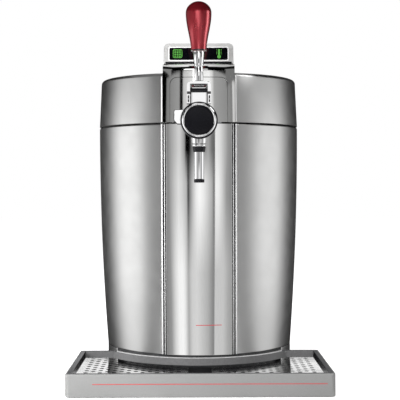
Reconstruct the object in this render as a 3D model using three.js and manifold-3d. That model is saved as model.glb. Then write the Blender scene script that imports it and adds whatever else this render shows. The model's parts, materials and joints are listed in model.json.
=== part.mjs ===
import * as THREE from 'three';
import { mergeVertices } from 'three/addons/utils/BufferGeometryUtils.js';
import Module from 'manifold-3d';

const wasm = await Module();
wasm.setup();

// A countertop cooler and tap for one small beer keg.
// Lengths are in millimetres: X is the width, -Y the front and +Z up.
// The origin is the middle of the footprint on the floor.

// Clearances
const seatGap = 0.3;
const panelGap = 0.5;
const overrun = 12;

// Body
const footHeight = 5;
const footRadius = 12;
const footChamfer = 1.5;
const frontFootInset = 69.8;
const frontFootSetback = 79;
const rearFootInset = 49.8;
const rearFootSetback = 47;
const panHeight = 26.7;
const panInset = 6;
const panRimInset = 1;
const bodyHalfWidth = 141.8;
const bodyFrontDepth = 134;
const bodyRearDepth = 209;
const widestY = 10;
const bodyCornerRadius = 70;
const bodyDrawIn = 11.2;
const drawInPower = 2.05;
const shellHeight = 305.6;
const shellWall = 3;
const shellEdgeX = 48;

// Front column and its trims
const columnHalfWidth = 43.7;
const columnWall = 3;
const frontStandOff = 1.5;
const trimStandOff = 0.8;

// Keg chamber
const linerWall = 2;
const linerFlange = 8;
const foamWall = 27.7;
const foamSideGap = 9.6;
const foamFrontGap = 5.8;
const foamRearGap = 6.4;
const foamFloor = 19.7;
const ribHeight = 31.7;
const deckDrop = 3.5;
const deckWall = 3;
const sealInset = 1;

// Cooling unit
const coldBlockHalfWidth = 25;
const coldBlockHeight = 50;
const coolingHeightShare = 0.4843;
const coolerHalfWidth = 20;
const coolerThickness = 3.8;
const sinkHalfWidth = 45;
const sinkBase = 5;
const finLength = 34.6;
const finWall = 1.6;
const finCount = 9;
const fanHalfWidth = 46;
const fanDepth = 25;
const fanRearGap = 12.7;
const fanBoreRadius = 42;
const fanStrut = 3.3;
const fanStrutWidth = 6;
const fanHubRadius = 19;
const fanTipGap = 1.2;
const bladeCount = 7;
const bladeWall = 2;
const bladeChord = 16;
const bladeTwist = 38;

// Rear openings
const ventHalfWidth = 52;
const ventHeight = 104;
const ventLip = 4;
const ventLipWall = 1.6;
const slotCount = 9;
const slotHeight = 5;
const slotMargin = 6;
const rearFittingInset = 81.8;
const plugRise = 34;
const inletHalfWidth = 14;
const inletHalfHeight = 10;
const inletDepth = 25;
const inletLip = 4;
const inletLipWall = 2;
const inletWall = 3;
const inletRecess = 17;
const switchHalfWidth = 12;
const switchHalfHeight = 7;
const switchDepth = 16;
const switchLip = 3;
const switchWall = 2;
const rockerPivotDepth = 5.3;
const rockerTilt = 8;
const rockerBack = 4;
const rockerWaistHalf = 4.2;
const rockerWaistOut = 2.6;
const rockerTipHalf = 3.7;
const rockerTipOut = 8.4;
const rockerDipOut = 7.4;

// Electronics
const supplyHalfWidth = 50;
const supplyDepth = 57;
const supplyHeight = 49.7;
const supplyRearGap = 27;
const supplyStep = 12;
const boardHalfWidth = 48;
const boardWall = 1.6;
const boardDrop = 25;
const boardRise = 10;
const bossRadius = 3;
const bossLength = 8.4;
const bossInset = 8;
const relayWidth = 19;
const relayDepth = 15;
const relayHeight = 16;
const relaySpacing = 26;
const capacitorRadius = 7;
const capacitorLength = 20;

// Lid
const seamGap = 2;
const lidHeight = 66;
const lidCorner = 5;
const lidDome = 4;
const lidTaperShare = 0.0465;
const lidWall = 3;
const lidPlateWall = 2;
const panEase = 1;
const panDepth = 32;
const panWall = 2;
const lidNotchHalfWidth = 42;
const lidNotchSetback = 31;
const foamClearance = 6;
const magnetInset = 23.86;
const magnetTurn = 39.49;
const magnetRadius = 9;
const strikeHeight = 2.7;

// Lid front panel and spine
const panelHalfWidth = 47.5;
const panelRise = 12;
const panelFillet = 10;
const spineHalfWidth = 47.5;
const spineWall = 3;
const spineFlatSetback = 74;
const spineRearFall = 6;
const spineRearGap = 31;
const spineToe = 17;

// Display
const displayHalfWidth = 46.3;
const displaySetback = 15;
const displayLean = 5;
const displayHeight = 28;
const displayBrow = 7;
const displayTopDepth = 14;
const displayTailDepth = 66;
const displayTailHeight = 3;
const displayCorner = 6.5;
const displayWall = 3;
const windowHalfWidth = 38.6;
const windowLow = 4;
const windowHigh = 21.5;
const windowWall = 1.6;
const lampBoardWall = 1.6;

// Hinges
const hingeRadius = 4.3;
const hingePinRadius = 1.8;
const hingeOffset = 4.7;
const hingePivotDrop = 0.5;
const leafKnuckleHalf = 5.5;
const leafHalfWidth = 9;
const leafHeight = 21;
const leafWall = 1.9;
const baseHalfWidth = 14;
const baseHeight = 22;

// Tap mounting
const tapPlateHalfWidth = 37.7;
const tapPlateHeight = 58.9;
const tapPlateCorner = 9;
const tapPlateWall = 4.8;
const bracketHalfWidth = 30;
const bracketHeight = 54;
const bracketWall = 3;
const bracketSetback = 29;
const tubeHoleRadius = 7;

// Tap body
const neckHalfWidth = 10;
const neckReach = 41;
const neckHeight = 36.9;
const neckDrop = 0.5;
const tapCentreDrop = 1.1;
const barrelRadius = 21;
const barrelFrontReach = 44;
const barrelRearReach = 8;
const boreRadius = 4.6;
const boreRise = 11.5;
const spoutReach = 33;
const stubRadius = 6.6;
const stubDrop = 36.5;
const spigotRadius = 5;
const spigotLength = 4.3;

// Spout
const socketHeight = 10;
const socketRadius = 9.4;
const socketTopRadius = 9.9;
const socketDrop = 32.1;
const collarHeight = 7.1;
const collarTopRadius = 8.6;
const collarLowRadius = 7.5;
const spoutRadius = 6.35;
const spoutLength = 38.2;
const tipRadius = 6.7;
const tipHeight = 3.2;

// Lever
const leverReach = 28;
const pivotRise = 33;
const leverTravel = 50;
const capRadius = 15.2;
const bridgeWall = 3.1;
const bridgeGap = 0.4;
const yokeWall = 5;
const yokeHalfDepth = 8;
const yokeDrop = 10.5;
const yokeCorner = 4;
const shaftRadius = 3.2;
const rodRadius = 5.1;
const rodLength = 18.4;
const ferruleLowRadius = 6.15;
const ferruleTopRadius = 7.55;
const ferruleLength = 19.5;
const handleBottomRadius = 10.2;
const handleMaxRadius = 16.5;
const handleWaist = 48.8;
const handleCrown = 14.9;

// Pinch mechanism
const pinchTravel = 4.8;
const crankPinRadius = 1.6;
const crankPinHalf = 3.3;
const crankWeb = 2;
const crankRimWall = 0.3;
const sliderHalfWidth = 5.6;
const sliderDepth = 6;
const stemHalfWidth = 3;
const bladeHeight = 10.7;
const pinchedTube = 1.9;
const jawWall = 2.7;
const pinClearance = 0.2;
const chamberDrop = 8;
const chamberFront = 8.2;
const coverRoof = 9;

// Tap cap
const capCollarRadius = 23.5;
const capCollarDepth = 9.7;
const capCollarChamfer = 1.5;
const capRingRadius = 21.5;
const capRingWidth = 3.1;
const capRingDepth = 5.7;
const capRingEdge = 1.2;
const badgeDepth = 5.1;
const badgeDome = 0.8;
const tabReach = 31;
const tabRise = 12.9;
const tabBevel = 4;

// Drip tray
const trayHalfWidth = 164;
const trayReach = 104;
const trayHug = 70;
const trayHeight = 28.5;
const trayFloorGap = 0.5;
const trayBodyGap = 1.5;
const trayCorner = 6;
const trayRim = 7.6;
const trayFloorWall = 2.5;
const fasciaWall = 2;
const gridDrop = 9;
const gridWall = 1.2;
const gridLedge = 3.4;
const tongueHalfWidth = 45;
const tongueLength = 34;
const holeRadius = 3;
const holePitchX = 18.1;
const holePitchY = 14.3;
const holeMargin = 2.5;
const fingerHalfWidth = 15;
const fingerSetback = 53;
const fingerLength = 44;
const fingerCorner = 4;

// How finely round shapes are stepped
const frontSteps = 20;
const cornerSteps = 5;
const panelSteps = 6;
const levelSteps = 5;
const filletSteps = 4;
const domeSteps = 2;
const largeSteps = 36;
const mediumSteps = 24;
const smallSteps = 12;
const holeSides = 4;

// Heights and places that follow from the sizes above
const frontY = widestY - bodyFrontDepth;
const panTop = footHeight + panHeight;
const shellBottom = panTop + seatGap;
const shellTop = shellBottom + shellHeight;
const bodyRearY = widestY + bodyRearDepth;
const rearInside = bodyRearY - shellWall;
const rearFittingX = bodyHalfWidth - rearFittingInset;
const cornerStartY = bodyRearY - bodyCornerRadius;
const panFloor = footHeight + shellWall;
const ribTop = panFloor + ribHeight;
const deckTop = shellTop - deckDrop;
const deckBottom = deckTop - deckWall;
const foamBottom = ribTop + seatGap;
const foamTop = deckBottom - seatGap;
const linerBottom = foamBottom + foamFloor + seatGap;
const flangeBottom = deckTop + seatGap;
const flangeTop = flangeBottom + linerWall;
const lidBottom = shellTop + seamGap;
const lidTop = lidBottom + lidHeight;
const lidPlateBottom = lidBottom + seatGap;
const lidPlateTop = lidPlateBottom + lidPlateWall;
const lidPanTop = lidPlateTop + panDepth;
const panelTop = lidTop + panelRise;
const panelInner = panelFillet - frontStandOff;
const tapCentreZ = lidBottom - tapCentreDrop;
const pivotZ = tapCentreZ + pivotRise;
const boreZ = tapCentreZ + boreRise;
const neckBottom = lidBottom - neckDrop;
const neckTop = neckBottom + neckHeight;
const tapRearY = frontY - frontStandOff - seatGap;
const neckFrontY = frontY - neckReach;
const barrelFrontY = frontY - barrelFrontReach;
const barrelRearY = frontY - barrelRearReach;
const spoutY = frontY - spoutReach;
const leverY = frontY - leverReach;
const bridgeInner = capRadius + bridgeGap;
const bridgeOuter = bridgeInner + bridgeWall;
const armInner = neckHalfWidth + bridgeGap;
const armOuter = armInner + yokeWall;
const rodBottom = pivotZ + bridgeOuter + seatGap;
const ferruleBottom = rodBottom + rodLength;
const ferruleTop = ferruleBottom + ferruleLength;
const handleBottom = ferruleTop + seatGap;
const trayTop = trayFloorGap + trayHeight;
const gridTop = trayTop - gridDrop;
const gridBottom = gridTop - gridWall;
const trayFrontY = frontY - trayReach;
const trayRearY = frontY + trayHug;
const fingerFrontY = trayFrontY + fingerSetback;
const fingerRearY = fingerFrontY + fingerLength;
const lidNotchRearY = frontY + lidNotchSetback;
const displayFrontY = frontY + displaySetback;
const coolingZ = shellBottom + coolingHeightShare * shellHeight;
const plugZ = shellBottom + plugRise;
const hingeY = bodyRearY + hingeOffset;
const hingeZ = lidBottom - hingePivotDrop;

// Materials, by the look of each piece
const looks = {
  satinSteel: { color: 0xb4b4b2, roughness: 0.35, metalness: 0.9 },
  polishedSteel: { color: 0xd6d6d4, roughness: 0.12, metalness: 1 },
  chrome: { color: 0xdfe0e1, roughness: 0.06, metalness: 1 },
  silverPaint: { color: 0xb2b2b0, roughness: 0.38, metalness: 0.75 },
  blackPlastic: { color: 0x141416, roughness: 0.45, metalness: 0 },
  glossBlack: { color: 0x0a0a0c, roughness: 0.12, metalness: 0 },
  greyPlastic: { color: 0x4e4f52, roughness: 0.42, metalness: 0.1 },
  whitePlastic: { color: 0xd9dadb, roughness: 0.5, metalness: 0 },
  foam: { color: 0xe9e6da, roughness: 0.95, metalness: 0 },
  aluminium: { color: 0xa9abad, roughness: 0.42, metalness: 0.95 },
  rubber: { color: 0x1d1d1e, roughness: 0.9, metalness: 0 },
  redPaint: { color: 0xa31f2b, roughness: 0.24, metalness: 0.55 },
  boardGreen: { color: 0x1f5a37, roughness: 0.6, metalness: 0 },
  ceramic: { color: 0xf0efe9, roughness: 0.6, metalness: 0 },
  steel: { color: 0x8d8f92, roughness: 0.35, metalness: 0.95 },
};

// Turns a geometry into a solid whose faces point outwards.
function toSolid(geometry) {
  const bare = geometry.clone();
  bare.deleteAttribute('normal');
  bare.deleteAttribute('uv');
  const merged = mergeVertices(bare);
  const position = merged.attributes.position;
  const faces = [];
  const corner = [new THREE.Vector3(), new THREE.Vector3(), new THREE.Vector3()];
  let volume = 0;
  for (let face = 0; face < merged.index.count; face += 3) {
    const ids = [0, 1, 2].map((step) => merged.index.getX(face + step));
    if (new Set(ids).size === 3) {
      ids.forEach((id, step) => corner[step].fromBufferAttribute(position, id));
      volume += corner[0].dot(corner[1].clone().cross(corner[2]));
      faces.push(ids);
    }
  }
  const outward = volume > 0 ? faces : faces.map(([a, b, c]) => [a, c, b]);
  const vertProperties = new Float32Array(position.array);
  const triVerts = new Uint32Array(outward.flat());
  return new wasm.Manifold(new wasm.Mesh({ numProp: 3, vertProperties, triVerts }));
}

function toGeometry(solid) {
  const mesh = solid.getMesh();
  const geometry = new THREE.BufferGeometry();
  geometry.setAttribute('position', new THREE.BufferAttribute(new Float32Array(mesh.vertProperties), 3));
  geometry.setIndex(new THREE.BufferAttribute(new Uint32Array(mesh.triVerts), 1));
  return geometry;
}

function point(x, y, z) {
  return new THREE.Vector3(x, y, z);
}

// Numbers from low to high in equal steps, both ends included.
function spread(low, high, steps) {
  return Array.from({ length: steps + 1 }, (_, step) => low + (high - low) * step / steps);
}

function block(x, y, z) {
  const geometry = new THREE.BoxGeometry(x[1] - x[0], y[1] - y[0], z[1] - z[0]);
  geometry.translate((x[0] + x[1]) / 2, (y[0] + y[1]) / 2, (z[0] + z[1]) / 2);
  return toSolid(geometry);
}

// A solid of revolution. The profile lists pairs of radius and place along the axis.
function turned(axis, profile, centre, steps) {
  const outline = profile.map(([radius, along]) => new THREE.Vector2(radius, along));
  const geometry = new THREE.LatheGeometry(outline, steps);
  if (axis === 'z') {
    geometry.rotateX(Math.PI / 2);
  }
  if (axis === 'x') {
    geometry.rotateZ(-Math.PI / 2);
  }
  geometry.translate(centre.x, centre.y, centre.z);
  return toSolid(geometry);
}

function rod(axis, radius, low, high, centre, steps = smallSteps) {
  return turned(axis, [[0, low], [radius, low], [radius, high], [0, high]], centre, steps);
}

function ring(axis, outer, inner, low, high, centre, steps = smallSteps) {
  const profile = [[inner, low], [outer, low], [outer, high], [inner, high], [inner, low]];
  return turned(axis, profile, centre, steps);
}

// An outline in two of the axes, pushed out along the third.
function extruded(axis, outline, low, high, holes = []) {
  const shape = new THREE.Shape(outline.map(([u, v]) => new THREE.Vector2(u, v)));
  for (const hole of holes) {
    shape.holes.push(new THREE.Path(hole.map(([u, v]) => new THREE.Vector2(u, v))));
  }
  const geometry = new THREE.ExtrudeGeometry(shape, { depth: high - low, bevelEnabled: false });
  geometry.translate(0, 0, low);
  const turn = new THREE.Matrix4();
  if (axis === 'x') {
    turn.makeBasis(point(0, 1, 0), point(0, 0, 1), point(1, 0, 0));
  }
  if (axis === 'y') {
    turn.makeBasis(point(0, 0, 1), point(1, 0, 0), point(0, 1, 0));
  }
  geometry.applyMatrix4(turn);
  return toSolid(geometry);
}

// A solid through rings that all have the same number of points.
function lofted(rings, capFaces) {
  const count = rings[0].length;
  const positions = rings.flat().flatMap((place) => [place.x, place.y, place.z]);
  const faces = [];
  for (let level = 0; level + 1 < rings.length; level += 1) {
    for (let step = 0; step < count; step += 1) {
      const here = level * count + step;
      const next = level * count + (step + 1) % count;
      faces.push(here, next, next + count, here, next + count, here + count);
    }
  }
  const last = (rings.length - 1) * count;
  for (const [a, b, c] of capFaces) {
    faces.push(c, b, a, last + a, last + b, last + c);
  }
  const geometry = new THREE.BufferGeometry();
  geometry.setAttribute('position', new THREE.Float32BufferAttribute(positions, 3));
  geometry.setIndex(faces);
  return toSolid(geometry);
}

// A loft through closed outlines that each lie at one height, listed anticlockwise.
function stacked(rings) {
  const flat = rings[0].map((place) => new THREE.Vector2(place.x, place.y));
  return lofted(rings, THREE.ShapeUtils.triangulateShape(flat, []));
}

// A curved sheet: each row holds an outer and an inner path of as many points.
function sheet(rows) {
  const rings = rows.map(({ outer, inner }) => [...outer, ...[...inner].reverse()]);
  const count = rings[0].length;
  const capFaces = [];
  for (let step = 0; step + 1 < count / 2; step += 1) {
    const across = count - 1 - step;
    capFaces.push([step, step + 1, across - 1], [step, across - 1, across]);
  }
  return lofted(rings, capFaces);
}

function arc(centreU, centreV, radius, from, to, steps) {
  return spread(from, to, steps).map((angle) => {
    const turn = THREE.MathUtils.degToRad(angle);
    return [centreU + radius * Math.cos(turn), centreV + radius * Math.sin(turn)];
  });
}

// An upright rectangle whose two upper corners are round, centred on X.
// Outlines pushed along Y list Z first and X second.
function archOutline(halfWidth, low, high, radius) {
  const right = arc(high - radius, halfWidth - radius, radius, 90, 0, filletSteps);
  const left = arc(high - radius, radius - halfWidth, radius, 0, -90, filletSteps);
  return [[low, halfWidth], ...right, ...left, [low, -halfWidth]];
}

// Size of the body's outline at a height, moved inwards by a depth.
// The front is half an ellipse, the rear is flat with round corners.
function sectionAt(z, depth) {
  const below = THREE.MathUtils.clamp((shellTop - z) / shellHeight, 0, 1);
  const above = Math.max(z - lidBottom, 0);
  const inset = bodyDrawIn * below ** drawInPower + lidTaperShare * above + depth;
  return {
    halfWidth: bodyHalfWidth - inset,
    frontDepth: bodyFrontDepth - inset,
    corner: bodyCornerRadius - depth,
  };
}

function frontArc(section, z, from, to, steps) {
  return spread(from, to, steps).map((angle) => {
    const x = section.halfWidth * Math.sin(angle);
    const y = widestY - section.frontDepth * Math.cos(angle);
    return point(x, y, z);
  });
}

// A stretch of the curved front between two places across the width.
function frontPath(z, depth, fromX, toX, steps = panelSteps, sectionZ = z) {
  const section = sectionAt(sectionZ, depth);
  const from = Math.asin(fromX / section.halfWidth);
  const to = Math.asin(toX / section.halfWidth);
  return frontArc(section, z, from, to, steps);
}

// From the column's edge round one side to where the rear cover starts.
function sidePath(z, depth, side) {
  const section = sectionAt(z, depth);
  const from = Math.asin(shellEdgeX / section.halfWidth);
  const front = frontArc(section, z, from, Math.PI / 2, frontSteps / 2);
  const path = [...front, point(section.halfWidth, cornerStartY - panelGap, z)];
  return path.map((place) => point(side * place.x, place.y, z));
}

// Round both rear corners, from the right side to the left.
function rearPath(z, depth, sectionZ = z) {
  const section = sectionAt(sectionZ, depth);
  const centreX = section.halfWidth - section.corner;
  const right = arc(centreX, cornerStartY, section.corner, 0, 90, cornerSteps);
  const left = arc(-centreX, cornerStartY, section.corner, 90, 180, cornerSteps);
  return [...right, ...left].map(([x, y]) => point(x, y, z));
}

function bodyRing(z, depth, sectionZ = z) {
  const section = sectionAt(sectionZ, depth);
  const front = frontArc(section, z, -Math.PI / 2, Math.PI / 2, frontSteps);
  return [...front, ...rearPath(z, depth, sectionZ)];
}

function bodyPrism(depth, low, high, sectionZ) {
  return stacked([bodyRing(low, depth, sectionZ), bodyRing(high, depth, sectionZ)]);
}

function bodySheet(pathAt, outerDepth, innerDepth) {
  const levels = spread(shellBottom, shellTop, levelSteps);
  return sheet(levels.map((z) => ({ outer: pathAt(z, outerDepth), inner: pathAt(z, innerDepth) })));
}

const group = new THREE.Group();
group.name = 'mini_keg_dispenser';

function addPiece(name, solid, look) {
  const material = new THREE.MeshStandardMaterial(looks[look]);
  material.name = look;
  const mesh = new THREE.Mesh(toGeometry(solid), material);
  mesh.name = name;
  group.add(mesh);
}

// The cooling stack stands against the rear, and the foam cup fills the room before it.
const fanY = rearInside - fanRearGap - fanDepth;
const finY = fanY - seatGap - finLength;
const sinkY = finY - sinkBase;
const coolerY = sinkY - seatGap - coolerThickness;
const blockRearY = coolerY - seatGap;
const foamFrontY = frontY + bodyDrawIn + columnWall + foamFrontGap;
const foamRearY = sinkY - foamRearGap;
const foamSideRoom = bodyHalfWidth - bodyDrawIn - shellWall - foamSideGap;
const foamRadius = Math.min(foamSideRoom, (foamRearY - foamFrontY) / 2);
const foamInner = foamRadius - foamWall;
const linerRadius = foamInner - seatGap;
const chamberRadius = linerRadius - linerWall;
const panRadius = chamberRadius + panEase;
const chamberY = foamRearY - foamRadius;
const chamberCentre = point(0, chamberY, 0);

// Base

function makeBasePan() {
  const tub = bodyPrism(panInset, footHeight, panTop, shellBottom);
  const rim = bodyPrism(panRimInset, panTop - shellWall, panTop, shellBottom);
  const well = bodyPrism(panInset + shellWall, panFloor, panTop + overrun, shellBottom);
  const ribInner = chamberRadius - shellWall;
  const rib = ring('z', chamberRadius, ribInner, footHeight, ribTop, chamberCentre, largeSteps);
  return tub.add(rim).subtract(well).add(rib);
}

function makeFoot(x, y) {
  const top = footHeight - seatGap;
  const heel = footRadius - footChamfer;
  const profile = [[0, 0], [heel, 0], [footRadius, footChamfer], [footRadius, top], [0, top]];
  return turned('z', profile, point(x, y, 0), smallSteps);
}

addPiece('base_pan', makeBasePan(), 'blackPlastic');
for (const [side, sign] of [['left', -1], ['right', 1]]) {
  const frontX = sign * (bodyHalfWidth - frontFootInset);
  const rearX = sign * (bodyHalfWidth - rearFootInset);
  addPiece(`foot_front_${side}`, makeFoot(frontX, frontY + frontFootSetback), 'rubber');
  addPiece(`foot_rear_${side}`, makeFoot(rearX, bodyRearY - rearFootSetback), 'rubber');
}

// Body shells and front column

function makeTrim(sign) {
  const inner = columnHalfWidth + seatGap;
  const outer = shellEdgeX - seatGap;
  const [from, to] = sign > 0 ? [inner, outer] : [-outer, -inner];
  const pathAt = (z, depth) => frontPath(z, depth, from, to, 1);
  return bodySheet(pathAt, -trimStandOff, columnWall - frontStandOff);
}

for (const [side, sign] of [['left', -1], ['right', 1]]) {
  const pathAt = (z, depth) => sidePath(z, depth, sign);
  addPiece(`side_shell_${side}`, bodySheet(pathAt, 0, shellWall), 'satinSteel');
  addPiece(`column_trim_${side}`, makeTrim(sign), 'silverPaint');
}
const columnPath = (z, depth) => frontPath(z, depth, -columnHalfWidth, columnHalfWidth);
addPiece('front_column', bodySheet(columnPath, -frontStandOff, columnWall - frontStandOff), 'polishedSteel');

// Rear cover with its vent, inlet and switch openings, and bosses for the control board

const ventZ = [coolingZ - ventHeight / 2, coolingZ + ventHeight / 2];
const boardBottom = ventZ[1] + boardRise;
const boardTop = deckBottom - boardDrop;
const boardZ = (boardTop + boardBottom) / 2;
const boardHalfHeight = (boardTop - boardBottom) / 2;
const throughRear = [rearInside - overrun, bodyRearY + overrun];

function makeRearCover() {
  const window = block([-ventHalfWidth, ventHalfWidth], throughRear, ventZ);
  const inletSize = [inletHalfWidth + seatGap, inletHalfHeight + seatGap];
  const inletHole = rearBlock(-rearFittingX, inletSize[0], throughRear, inletSize[1]);
  const switchSize = [switchHalfWidth + seatGap, switchHalfHeight + seatGap];
  const switchHole = rearBlock(rearFittingX, switchSize[0], throughRear, switchSize[1]);
  let cover = bodySheet(rearPath, 0, shellWall).subtract(window).subtract(inletHole).subtract(switchHole);
  const bossX = boardHalfWidth - bossInset;
  const bossRise = boardHalfHeight - bossInset;
  for (const x of [-bossX, bossX]) {
    for (const z of [boardZ - bossRise, boardZ + bossRise]) {
      cover = cover.add(rod('y', bossRadius, rearInside - bossLength, bodyRearY - seatGap, point(x, 0, z)));
    }
  }
  return cover;
}

function makeVentGrille() {
  const width = ventHalfWidth - seatGap;
  const inside = [ventZ[0] + seatGap, ventZ[1] - seatGap];
  const lipFace = bodyRearY + seatGap;
  const plug = block([-width, width], [rearInside, lipFace], inside);
  const lip = block(
    [-ventHalfWidth - ventLip, ventHalfWidth + ventLip],
    [lipFace, lipFace + ventLipWall],
    [ventZ[0] - ventLip, ventZ[1] + ventLip],
  );
  let grille = plug.add(lip);
  const pitch = (ventHeight - slotMargin) / slotCount;
  for (let slot = 0; slot < slotCount; slot += 1) {
    const z = coolingZ + (slot - (slotCount - 1) / 2) * pitch;
    const slotX = ventHalfWidth - slotMargin;
    grille = grille.subtract(block([-slotX, slotX], throughRear, [z - slotHeight / 2, z + slotHeight / 2]));
  }
  return grille;
}

addPiece('rear_cover', makeRearCover(), 'blackPlastic');
addPiece('vent_grille', makeVentGrille(), 'blackPlastic');

// Keg chamber

function makeFoamCup() {
  const floor = linerBottom - seatGap;
  const profile = [
    [0, foamBottom], [foamRadius, foamBottom], [foamRadius, foamTop],
    [foamInner, foamTop], [foamInner, floor], [0, floor],
  ];
  const cup = turned('z', profile, chamberCentre, largeSteps);
  const width = coldBlockHalfWidth + seatGap;
  const height = coldBlockHeight / 2 + seatGap;
  const deep = [chamberY, chamberY + foamRadius + overrun];
  return cup.subtract(block([-width, width], deep, [coolingZ - height, coolingZ + height]));
}

function makeLiner() {
  const outer = linerRadius + linerFlange;
  const floor = linerBottom + linerWall;
  const profile = [
    [0, linerBottom], [linerRadius, linerBottom], [linerRadius, flangeBottom], [outer, flangeBottom],
    [outer, flangeTop], [chamberRadius, flangeTop], [chamberRadius, floor], [0, floor],
  ];
  return turned('z', profile, chamberCentre, largeSteps);
}

function makeDeck() {
  const plate = bodyPrism(shellWall + seatGap, deckBottom, deckTop, shellTop);
  const cut = rod('z', foamInner, deckBottom - overrun, deckTop + overrun, chamberCentre, largeSteps);
  return plate.subtract(cut);
}

function makeSeal() {
  const outer = linerRadius + linerFlange - sealInset;
  const top = lidPlateBottom - seatGap;
  return ring('z', outer, linerRadius, flangeTop + seatGap, top, chamberCentre, largeSteps);
}

addPiece('foam_cup', makeFoamCup(), 'foam');
addPiece('chamber_liner', makeLiner(), 'aluminium');
addPiece('top_deck', makeDeck(), 'blackPlastic');
addPiece('lid_seal', makeSeal(), 'rubber');

// Cooling unit behind the chamber

const fanCentre = point(0, 0, coolingZ);

function makeColdBlock() {
  const body = block(
    [-coldBlockHalfWidth, coldBlockHalfWidth],
    [chamberY + chamberRadius - overrun, blockRearY],
    [coolingZ - coldBlockHeight / 2, coolingZ + coldBlockHeight / 2],
  );
  return body.subtract(rod('z', foamInner, 0, shellTop, chamberCentre, largeSteps));
}

function makeHeatSink() {
  const outline = [[-sinkHalfWidth, sinkY], [sinkHalfWidth, sinkY]];
  const pitch = (2 * sinkHalfWidth - finWall) / (finCount - 1);
  for (let fin = finCount - 1; fin >= 0; fin -= 1) {
    const left = -sinkHalfWidth + fin * pitch;
    const right = left + finWall;
    const foot = fin === finCount - 1 ? [] : [[right, finY]];
    const toe = fin === 0 ? [] : [[left, finY]];
    outline.push(...foot, [right, finY + finLength], [left, finY + finLength], ...toe);
  }
  return extruded('z', outline, coolingZ - sinkHalfWidth, coolingZ + sinkHalfWidth);
}

function makeFanFrame() {
  const side = [-fanHalfWidth, fanHalfWidth];
  const height = [coolingZ - fanHalfWidth, coolingZ + fanHalfWidth];
  const rear = fanY + fanDepth;
  const strutY = [rear - fanStrut, rear];
  const bore = rod('y', fanBoreRadius, fanY - overrun, rear + overrun, fanCentre, mediumSteps);
  const half = fanStrutWidth / 2;
  const across = block(side, strutY, [coolingZ - half, coolingZ + half]);
  const upright = block([-half, half], strutY, height);
  const motor = rod('y', fanHubRadius, rear - fanStrut, rear, fanCentre, smallSteps);
  return block(side, [fanY, rear], height).subtract(bore).add(across).add(upright).add(motor);
}

function makeFanRotor() {
  const front = fanY + fanStrut;
  const rear = fanY + fanDepth - fanStrut - seatGap;
  const reach = fanBoreRadius - fanTipGap;
  const middle = (front + rear) / 2;
  let rotor = rod('y', fanHubRadius, front, rear, fanCentre, smallSteps);
  for (let blade = 0; blade < bladeCount; blade += 1) {
    const geometry = new THREE.BoxGeometry(bladeChord, bladeWall, reach - fanHubRadius / 2);
    geometry.rotateZ(THREE.MathUtils.degToRad(bladeTwist));
    geometry.translate(0, middle, (reach + fanHubRadius / 2) / 2);
    geometry.rotateY(2 * Math.PI * blade / bladeCount);
    geometry.translate(0, 0, coolingZ);
    rotor = rotor.add(toSolid(geometry));
  }
  return rotor.intersect(rod('y', reach, front, rear, fanCentre, mediumSteps));
}

addPiece('cold_block', makeColdBlock(), 'aluminium');
const coolerX = [-coolerHalfWidth, coolerHalfWidth];
const coolerZ = [coolingZ - coolerHalfWidth, coolingZ + coolerHalfWidth];
addPiece('cooler_module', block(coolerX, [coolerY, coolerY + coolerThickness], coolerZ), 'ceramic');
addPiece('heat_sink', makeHeatSink(), 'aluminium');
addPiece('fan_frame', makeFanFrame(), 'blackPlastic');
addPiece('fan_rotor', makeFanRotor(), 'blackPlastic');

// Electronics

function makeSupply() {
  const bottom = panFloor + seatGap;
  const rear = bodyRearY - supplyRearGap;
  const supplyY = rear - supplyDepth;
  const outline = [
    [supplyY, bottom], [rear, bottom], [rear, bottom + supplyHeight - supplyStep],
    [rear - supplyStep, bottom + supplyHeight - supplyStep], [rear - supplyStep, bottom + supplyHeight],
    [supplyY, bottom + supplyHeight],
  ];
  return extruded('x', outline, -supplyHalfWidth, supplyHalfWidth);
}

function makeControlBoard() {
  const rear = rearInside - bossLength - seatGap;
  const front = rear - boardWall;
  let board = block([-boardHalfWidth, boardHalfWidth], [front, rear], [boardBottom, boardTop]);
  for (const x of [-relaySpacing, 0]) {
    const relayX = [x - relayWidth / 2, x + relayWidth / 2];
    board = board.add(block(relayX, [front - relayDepth, rear], [boardZ, boardZ + relayHeight]));
  }
  const place = point(relaySpacing, 0, boardZ);
  return board.add(rod('y', capacitorRadius, front - capacitorLength, rear, place, smallSteps));
}

// A block centred on a place of the rear, with its half width and half height.
function rearBlock(x, halfWidth, depth, halfHeight) {
  return block([x - halfWidth, x + halfWidth], depth, [plugZ - halfHeight, plugZ + halfHeight]);
}

const fittingFace = bodyRearY + seatGap;

function makeInlet() {
  const lipFace = fittingFace + inletLipWall;
  const body = rearBlock(-rearFittingX, inletHalfWidth, [lipFace - inletDepth, fittingFace], inletHalfHeight);
  const wide = inletHalfWidth + inletLip;
  const lip = rearBlock(-rearFittingX, wide, [fittingFace, lipFace], inletHalfHeight + inletLip);
  const recessDepth = [lipFace - inletRecess, lipFace + overrun];
  const recessHalfWidth = inletHalfWidth - inletWall;
  const recess = rearBlock(-rearFittingX, recessHalfWidth, recessDepth, inletHalfHeight - inletWall);
  return body.add(lip).subtract(recess);
}

function makeSwitchBezel() {
  const lipFace = fittingFace + inletLipWall;
  const depth = [lipFace - switchDepth, fittingFace];
  const body = rearBlock(rearFittingX, switchHalfWidth, depth, switchHalfHeight);
  const wide = switchHalfWidth + switchLip;
  const lip = rearBlock(rearFittingX, wide, [fittingFace, lipFace], switchHalfHeight + switchLip);
  const wellDepth = [lipFace - switchDepth + switchWall, lipFace + overrun];
  const wellHalfWidth = switchHalfWidth - switchWall;
  const well = rearBlock(rearFittingX, wellHalfWidth, wellDepth, switchHalfHeight - switchWall);
  return body.add(lip).subtract(well);
}

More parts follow.
